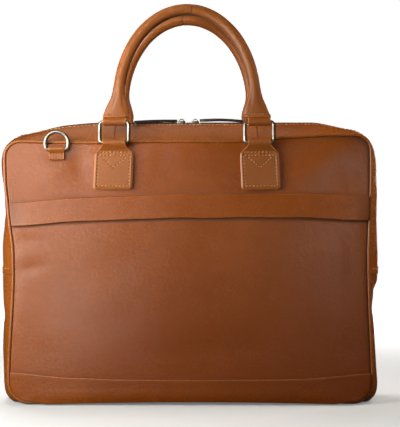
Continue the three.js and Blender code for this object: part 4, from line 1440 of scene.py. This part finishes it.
def loop_grids(place):
    """The strip that comes out of a handle's flare and folds round the ring's upper bar."""
    bar = (0, 0)
    radius = LOOP_BORE + LOOP_LAYER / 2
    fold = fold_line(level(LOOP_APART), level(-LOOP_APART), *bar, LOOP_FOOT, LOOP_SPRING, radius, LOOP_STEP)

    def line_at(share):
        return fold

    def relief(x, up):
        return 0 * x

    grids = fold_grids(place, level(LOOP_HALF), LOOP_LAYER, LOOP_COLUMNS, relief, line_at)
    return (grid * np.array([1, 1, -1]) + np.array([0, 0, RING_HEIGHT]) for grid in grids)


def handle_loop(name, spot, place, turn):
    outer, inner = loop_grids(spot)
    edge = 1 - smooth(LOOP_HALF - np.abs(outer[..., 0] - spot), 0.2, 1.4)
    grids = (hung(part, place, turn) for part in (outer, inner))
    return rounded_edges(wall(name, *grids, {"edge": edge, "groove": 0 * edge}), 0.5)


def handle_stitches(place, turn):
    runs = []
    thick = read(HANDLE_SECTIONS, "along", "thickness", np.array([FLARE_STITCH]))[0] - FLARE_STITCH_SINK
    up = RING_HEIGHT + FLARE_STITCH
    spread = handle_spread(np.array([up]), ARCH_TOP)[0]
    for sign in (-1, 1):
        x = sign * spread + np.linspace(-FLARE_STITCH_HALF, FLARE_STITCH_HALF, STITCH_LINE_POINTS)
        for facing in (-1, 1):
            points = np.stack([x, facing * thick + 0 * x, up + 0 * x], -1)
            runs.append((hung(points, place, turn), hung_direction((0, facing, 0), turn)))
    return runs


def wire(points, count):
    """A round wire along a closed outline in X and Z, in evenly spaced sections."""
    closed = np.vstack([points, points[:1]])
    run = travelled(np.linalg.norm(np.diff(closed, axis=0), axis=1))
    at = np.linspace(0, run[-1], count, endpoint=False)
    line = np.stack([np.interp(at, run, closed[:, k]) for k in range(2)], -1)
    tangent = np.roll(line, -1, 0) - np.roll(line, 1, 0)
    normal = unit(np.stack([tangent[:, 1], -tangent[:, 0]], -1))
    turn = circle(WIRE_SIDES)
    across = RING_WIRE * np.cos(turn)[None]
    x = line[:, :1] + normal[:, :1] * across
    z = line[:, 1:] + normal[:, 1:] * across
    return np.stack([x, np.broadcast_to(RING_WIRE * np.sin(turn), x.shape), z], -1)


def handle_ring():
    side = RING_HALF_WIDTH - RING_CORNER
    low = RING_CORNER
    high = RING_HEIGHT - RING_CORNER
    turn = np.radians(np.linspace(0, 90, RING_CORNER_STEPS))
    arcs = []
    for x, z, start in ((side, low, -90), (side, high, 0), (-side, high, 90), (-side, low, 180)):
        angle = turn + math.radians(start)
        arcs.append(np.stack([x + RING_CORNER * np.cos(angle), z + RING_CORNER * np.sin(angle)], -1))
    return wire(np.concatenate(arcs), RING_SECTIONS)


def strap_ring():
    """A D-shaped ring: a straight bar, two bent shoulders and a round bow."""
    t = np.linspace(0, 1, STRAP_BEND_STEPS)[:, None]

    def bend(a, b, c):
        return (1 - t) ** 2 * np.array(a) + 2 * t * (1 - t) * np.array(b) + t * t * np.array(c)

    arc = np.linspace(0, np.pi, STRAP_BOW_STEPS)[:, None]
    bow = np.hstack([STRAP_HALF_WIDTH * np.cos(arc), STRAP_SHOULDER + STRAP_HALF_WIDTH * np.sin(arc)])
    bar = STRAP_HALF_BAR
    knee = STRAP_HALF_WIDTH - STRAP_KNEE_INSET
    wide = STRAP_HALF_WIDTH - STRAP_SHOULDER_INSET
    right = bend((bar, 0), (knee, 0), (wide, STRAP_SHOULDER / 2))
    left = bend((-wide, STRAP_SHOULDER / 2), (-knee, 0), (-bar, 0))
    return wire(np.concatenate([right, bow, left]), STRAP_SECTIONS)


# Zip sliders and pulls

def crest_height(x):
    line = seam_line(True, UPPER_SPACING)
    out = gusset_out(line, 0 * line["x"][:, None])[:, 0]
    top = line["nz"] > TOP_FACING
    return float(np.interp(x, line["x"][top], (line["z"] + out)[top]))


def slider_body(name, place, sign):
    """A shield-shaped slider plate with a lower flange, and a bail arched over it."""
    outline = np.column_stack(list(SLIDER_OUTLINE.values()))
    sections = []
    for share, up in zip(*SLIDER_SECTIONS.values()):
        ring = np.column_stack([outline * share, np.full(len(outline), up)])
        sections.append(ring * np.array([sign, 1, 1]) + place)
    plate = rounded_edges(tube(name, np.stack(sections), False), 0.25, 2, 25)
    turn = np.linspace(0, np.pi, BAIL_STEPS)
    around = circle(BAIL_SIDES)
    normal = np.stack([np.cos(turn), 0 * turn, np.sin(turn)], -1)
    spine = BAIL_RADIUS * normal + np.array([0, 0, BAIL_UP])
    thick, half = BAIL_HALF
    bail = spine[:, None] + normal[:, None] * (thick * np.cos(around))[None, :, None]
    bail = bail + np.array([0, half, 0]) * np.sin(around)[None, :, None]
    return [plate, tube(name + "_bail", bail + place, False)]


def zip_pull(name, place, sign, lie):
    """A doubled strap that arches away from its slider, with a rounded far end."""
    rows, columns = PULL_GRID
    share = np.linspace(0, 1, rows)[:, None]
    across = np.linspace(-1, 1, columns)[None]
    end = np.sqrt(np.clip(1 - np.clip((share - 0.93) / 0.075, 0, 1) ** 2, 0.0025, 1))
    half = PULL_WIDTH / 2 * end * lerp(PULL_NECK, 1, smooth(share, 0.0, 0.14))
    x = sign * (share * PULL_LENGTH) + 0 * across
    y = across * half - lie.forward * smooth(share)
    bed = UPPER_SWELL["swell"].max() * (np.abs(y) / HALF_DEPTH_TOP) ** TOP_POWER
    z = lerp(lie.near, lie.far, share) + lie.rise * np.sin(np.pi * share) - bed
    inset = np.minimum(half * (1 - np.abs(across)), PULL_LENGTH * (1 - share) + 0 * across)
    groove = bell(inset - PULL_GROOVE[0], PULL_GROOVE[1])
    rim = 0.22 * smooth(inset, 0, 0.8) - 0.18 * groove
    outer = np.stack([x, y, z + PULL_THICKNESS - 0.2 + rim], -1) + place
    inner = np.stack([x, y, z], -1) + place
    marks = {"edge": 0.25 * (1 - smooth(inset, 0.1, 1.0)), "groove": groove}
    return rounded_edges(wall(name, outer, inner, marks), 0.5)


# Assembly

def dress_body():
    """Faces, pocket, band, base strip, gussets, piping and zip."""
    front = face_panel("front_panel_leather", -1, front_face, UPPER_DENTS, FRONT_UNEVEN, BAND_SHADE)
    dress(front, TAN, BAG, "tan_leather", "front_panel")
    back = face_panel("back_panel_leather", 1, plain_face, BACK_DENTS, BACK_UNEVEN)
    dress(back, TAN, BAG, "tan_leather", "back_panel")
    dress(rounded_edges(pocket_panel(), 0.5), TAN, BAG, "tan_leather", "pocket_panel")
    dress(rounded_edges(pocket_band(), 0.75), TAN, BAG, "tan_leather", "pocket_band")
    dress(rounded_edges(base_strip(), 0.7), TAN, BAG, "tan_leather", "base_strip")
    laps = [HANDLE_OFFSET + sign * RING_SPREAD for sign in ENDS.values()]
    for face, side in FACES.items():
        strip = upper_gusset(f"top_gusset_{face}_leather", side, laps)
        dress(rounded_edges(strip, 0.6), TAN_SIDE, BAG, "tan_leather", f"top_gusset_{face}")
        dress(piping(f"{face}_piping_leather", side), TAN_SIDE, BAG, "tan_leather", f"{face}_piping")
    dress(rounded_edges(lower_gusset(), 0.5), TAN_SIDE, BAG, "tan_leather", "lower_gusset")
    dress(zip_tape(), ZIP_CLOTH, BAG, "zip_cloth", "zip")
    dress(zip_coil(), ZIP_TEETH, BAG, "zip_cloth")
    sewn("zip_stitches", zip_stitches(), BAG, "zip")
    sewn("hem_stitches", hem_stitches(), BAG, "hem")


def dress_slider(end, sign):
    """A zip slider and its pull."""
    spot = SLIDER_PLACES[end]
    base = np.array([spot, 0, crest_height(spot) - SLIDER_SINK])
    slider = joined(f"zip_slider_{end}_metal", slider_body(f"zip_slider_{end}_metal", base, sign))
    dress(slider, NICKEL, BAG, "nickel", f"zip_slider_{end}")
    root = base + np.array([sign * (SLIDER_HALF_LENGTH + GAP), 0, SLIDER_SINK])
    pull = zip_pull(f"zip_pull_{end}_strap", root, sign, PULL_LIE[end])
    dress(pull, DARK, BAG, "dark_leather", f"zip_pull_{end}")


def dress_chapes(face, turn, offset):
    """Both chapes of a face, with their rings and stitches."""
    runs = []
    for end, sign in ENDS.items():
        place = (CHAPE, offset + sign * RING_SPREAD, CHAPE_LEANS[end], turn)
        pad = folded_strip(f"{face}_chape_{end}_leather", *place)
        dress(pad, TAN_ROLLED, BAG, "tan_leather", f"{face}_chape_{end}")
        runs += strip_stitches(*place)
        ring = hung(handle_ring() + np.array([sign * RING_SPREAD, 0, 0]), offset, turn)
        ring = tube(f"{face}_ring_{end}_metal", ring, True)
        dress(ring, NICKEL, f"{face}_handle", "nickel", f"{face}_ring_{end}")
    sewn(f"{face}_chape_stitches", runs, BAG, "chape")


def dress_handle(face, turn, offset):
    """The rolled part of a handle, its loops and its stitches."""
    body = f"{face}_handle"
    sections, marks = rolled_handle(face)
    rolled = tube(f"{face}_handle_leather", hung(sections, offset, turn), False, marks)
    dress(rounded_edges(rolled, 0.8), TAN_ROLLED, body, "tan_leather", f"{face}_handle")
    for end, sign in ENDS.items():
        loop = handle_loop(f"{face}_handle_loop_{end}", sign * RING_SPREAD, offset, turn)
        dress(loop, TAN_ROLLED, body, "tan_leather")
    sewn(f"{face}_handle_stitches", handle_stitches(offset, turn), body, "handle")


def dress_strap_ring(face, turn):
    """A strap ring with its tab and the tab's stitches."""
    place = (TAB, STRAP_RING_PLACE, 0, turn)
    tab = folded_strip(f"{face}_strap_tab_leather", *place)
    dress(tab, TAN_ROLLED, BAG, "tan_leather", f"{face}_strap_tab")
    sewn(f"{face}_strap_tab_stitches", strip_stitches(*place), BAG, "tab")
    hoop = turn(strap_ring() + np.array([STRAP_RING_PLACE, -STRAP_AXIS_OUT, STRAP_AXIS_UP]))
    hoop = tube(f"{face}_strap_ring_metal", hoop, True)
    dress(hoop, NICKEL, f"{face}_strap_ring", "nickel", f"{face}_strap_ring")


# Stage, light and camera

def pale_floor():
    """A matt pale floor that glows more the further it lies from the bag."""
    s = Shader("pale_floor")
    s.set(Base_Color=FLOOR_GREY, Roughness=0.9, Specular_IOR_Level=0.1)
    away = s.node("VectorMath", {0: s.place}, operation="LENGTH").outputs["Value"]
    s.set(Emission_Color=(1, 1, 1, 1), Emission_Strength=s.span(away, *GLOW_REACH, *FLOOR_GLOW))
    return s.material


def cyclorama(name):
    """A round level floor that curves up into a wall all round."""
    bend = np.linspace(0, np.pi / 2, STAGE_BEND_STEPS)
    reach = np.append(FLOOR_RADIUS + SWEEP_RADIUS * np.sin(bend), FLOOR_RADIUS + SWEEP_RADIUS)
    up = np.append(SWEEP_RADIUS * (1 - np.cos(bend)), STAGE_HEIGHT) + FLOOR_HEIGHT
    turn = circle(STAGE_SIDES)
    across = (np.cos(turn), np.sin(turn))
    rings = np.stack([*(np.outer(reach, part) for part in across), np.outer(up, 1 + 0 * turn)], -1)
    index = np.arange(len(up) * len(turn)).reshape(len(up), len(turn))
    obj = make(name, rings, grid_quads(np.hstack([index, index[:, :1]])), [index[0, ::-1].tolist()])
    obj.data.materials.append(pale_floor())
    obj.visible_diffuse = False
    obj.visible_glossy = False
    return obj


def area_light(row):
    """A soft box, wide or narrow, with or without a reflection."""
    light = bpy.data.lights.new(row.name, "AREA")
    light.shape = "RECTANGLE"
    light.size, light.size_y = row.size
    light.energy = row.power
    light.spread = math.radians(row.spread)
    light.color = row.colour
    obj = bpy.data.objects.new(row.name, light)
    obj.visible_camera = False
    obj.visible_glossy = row.gloss
    obj.location = row.place
    obj.rotation_euler = (Vector(row.target) - Vector(row.place)).to_track_quat("-Z", "Y").to_euler()
    bpy.context.scene.collection.objects.link(obj)
    return obj


def light_only(light, obj):
    """Makes a light fall on one object alone."""
    light.light_linking.receiver_collection = bpy.data.collections.new(light.name)
    light.light_linking.receiver_collection.objects.link(obj)


def set_room(scene):
    world = bpy.data.worlds.new("soft_room")
    world.use_nodes = True
    background = world.node_tree.nodes["Background"].inputs
    background["Color"].default_value = (1, 1, 1, 1)
    background["Strength"].default_value = ROOM_LIGHT
    scene.world = world
    scene.view_settings.view_transform = "Standard"


def set_camera(scene):
    camera = bpy.data.objects.new("camera", bpy.data.cameras.new("camera"))
    camera.data.lens = CAMERA_LENS
    camera.data.sensor_width = CAMERA_SENSOR
    camera.data.clip_end = CAMERA_REACH
    camera.location = CAMERA_PLACE
    camera.rotation_euler = (math.pi / 2, 0, 0)
    scene.collection.objects.link(camera)
    scene.camera = camera


dress_body()
for end, sign in ENDS.items():
    dress_slider(end, sign)
for face, turn, offset in (("front", straight, HANDLE_OFFSET), ("back", turned, -HANDLE_OFFSET)):
    dress_chapes(face, turn, offset)
    dress_handle(face, turn, offset)
    dress_strap_ring(face, turn)
floor = cyclorama("floor")
for row in LIGHTS:
    area_light(row)
light_only(area_light(FLOOR_LIGHT), floor)
set_room(bpy.context.scene)
set_camera(bpy.context.scene)
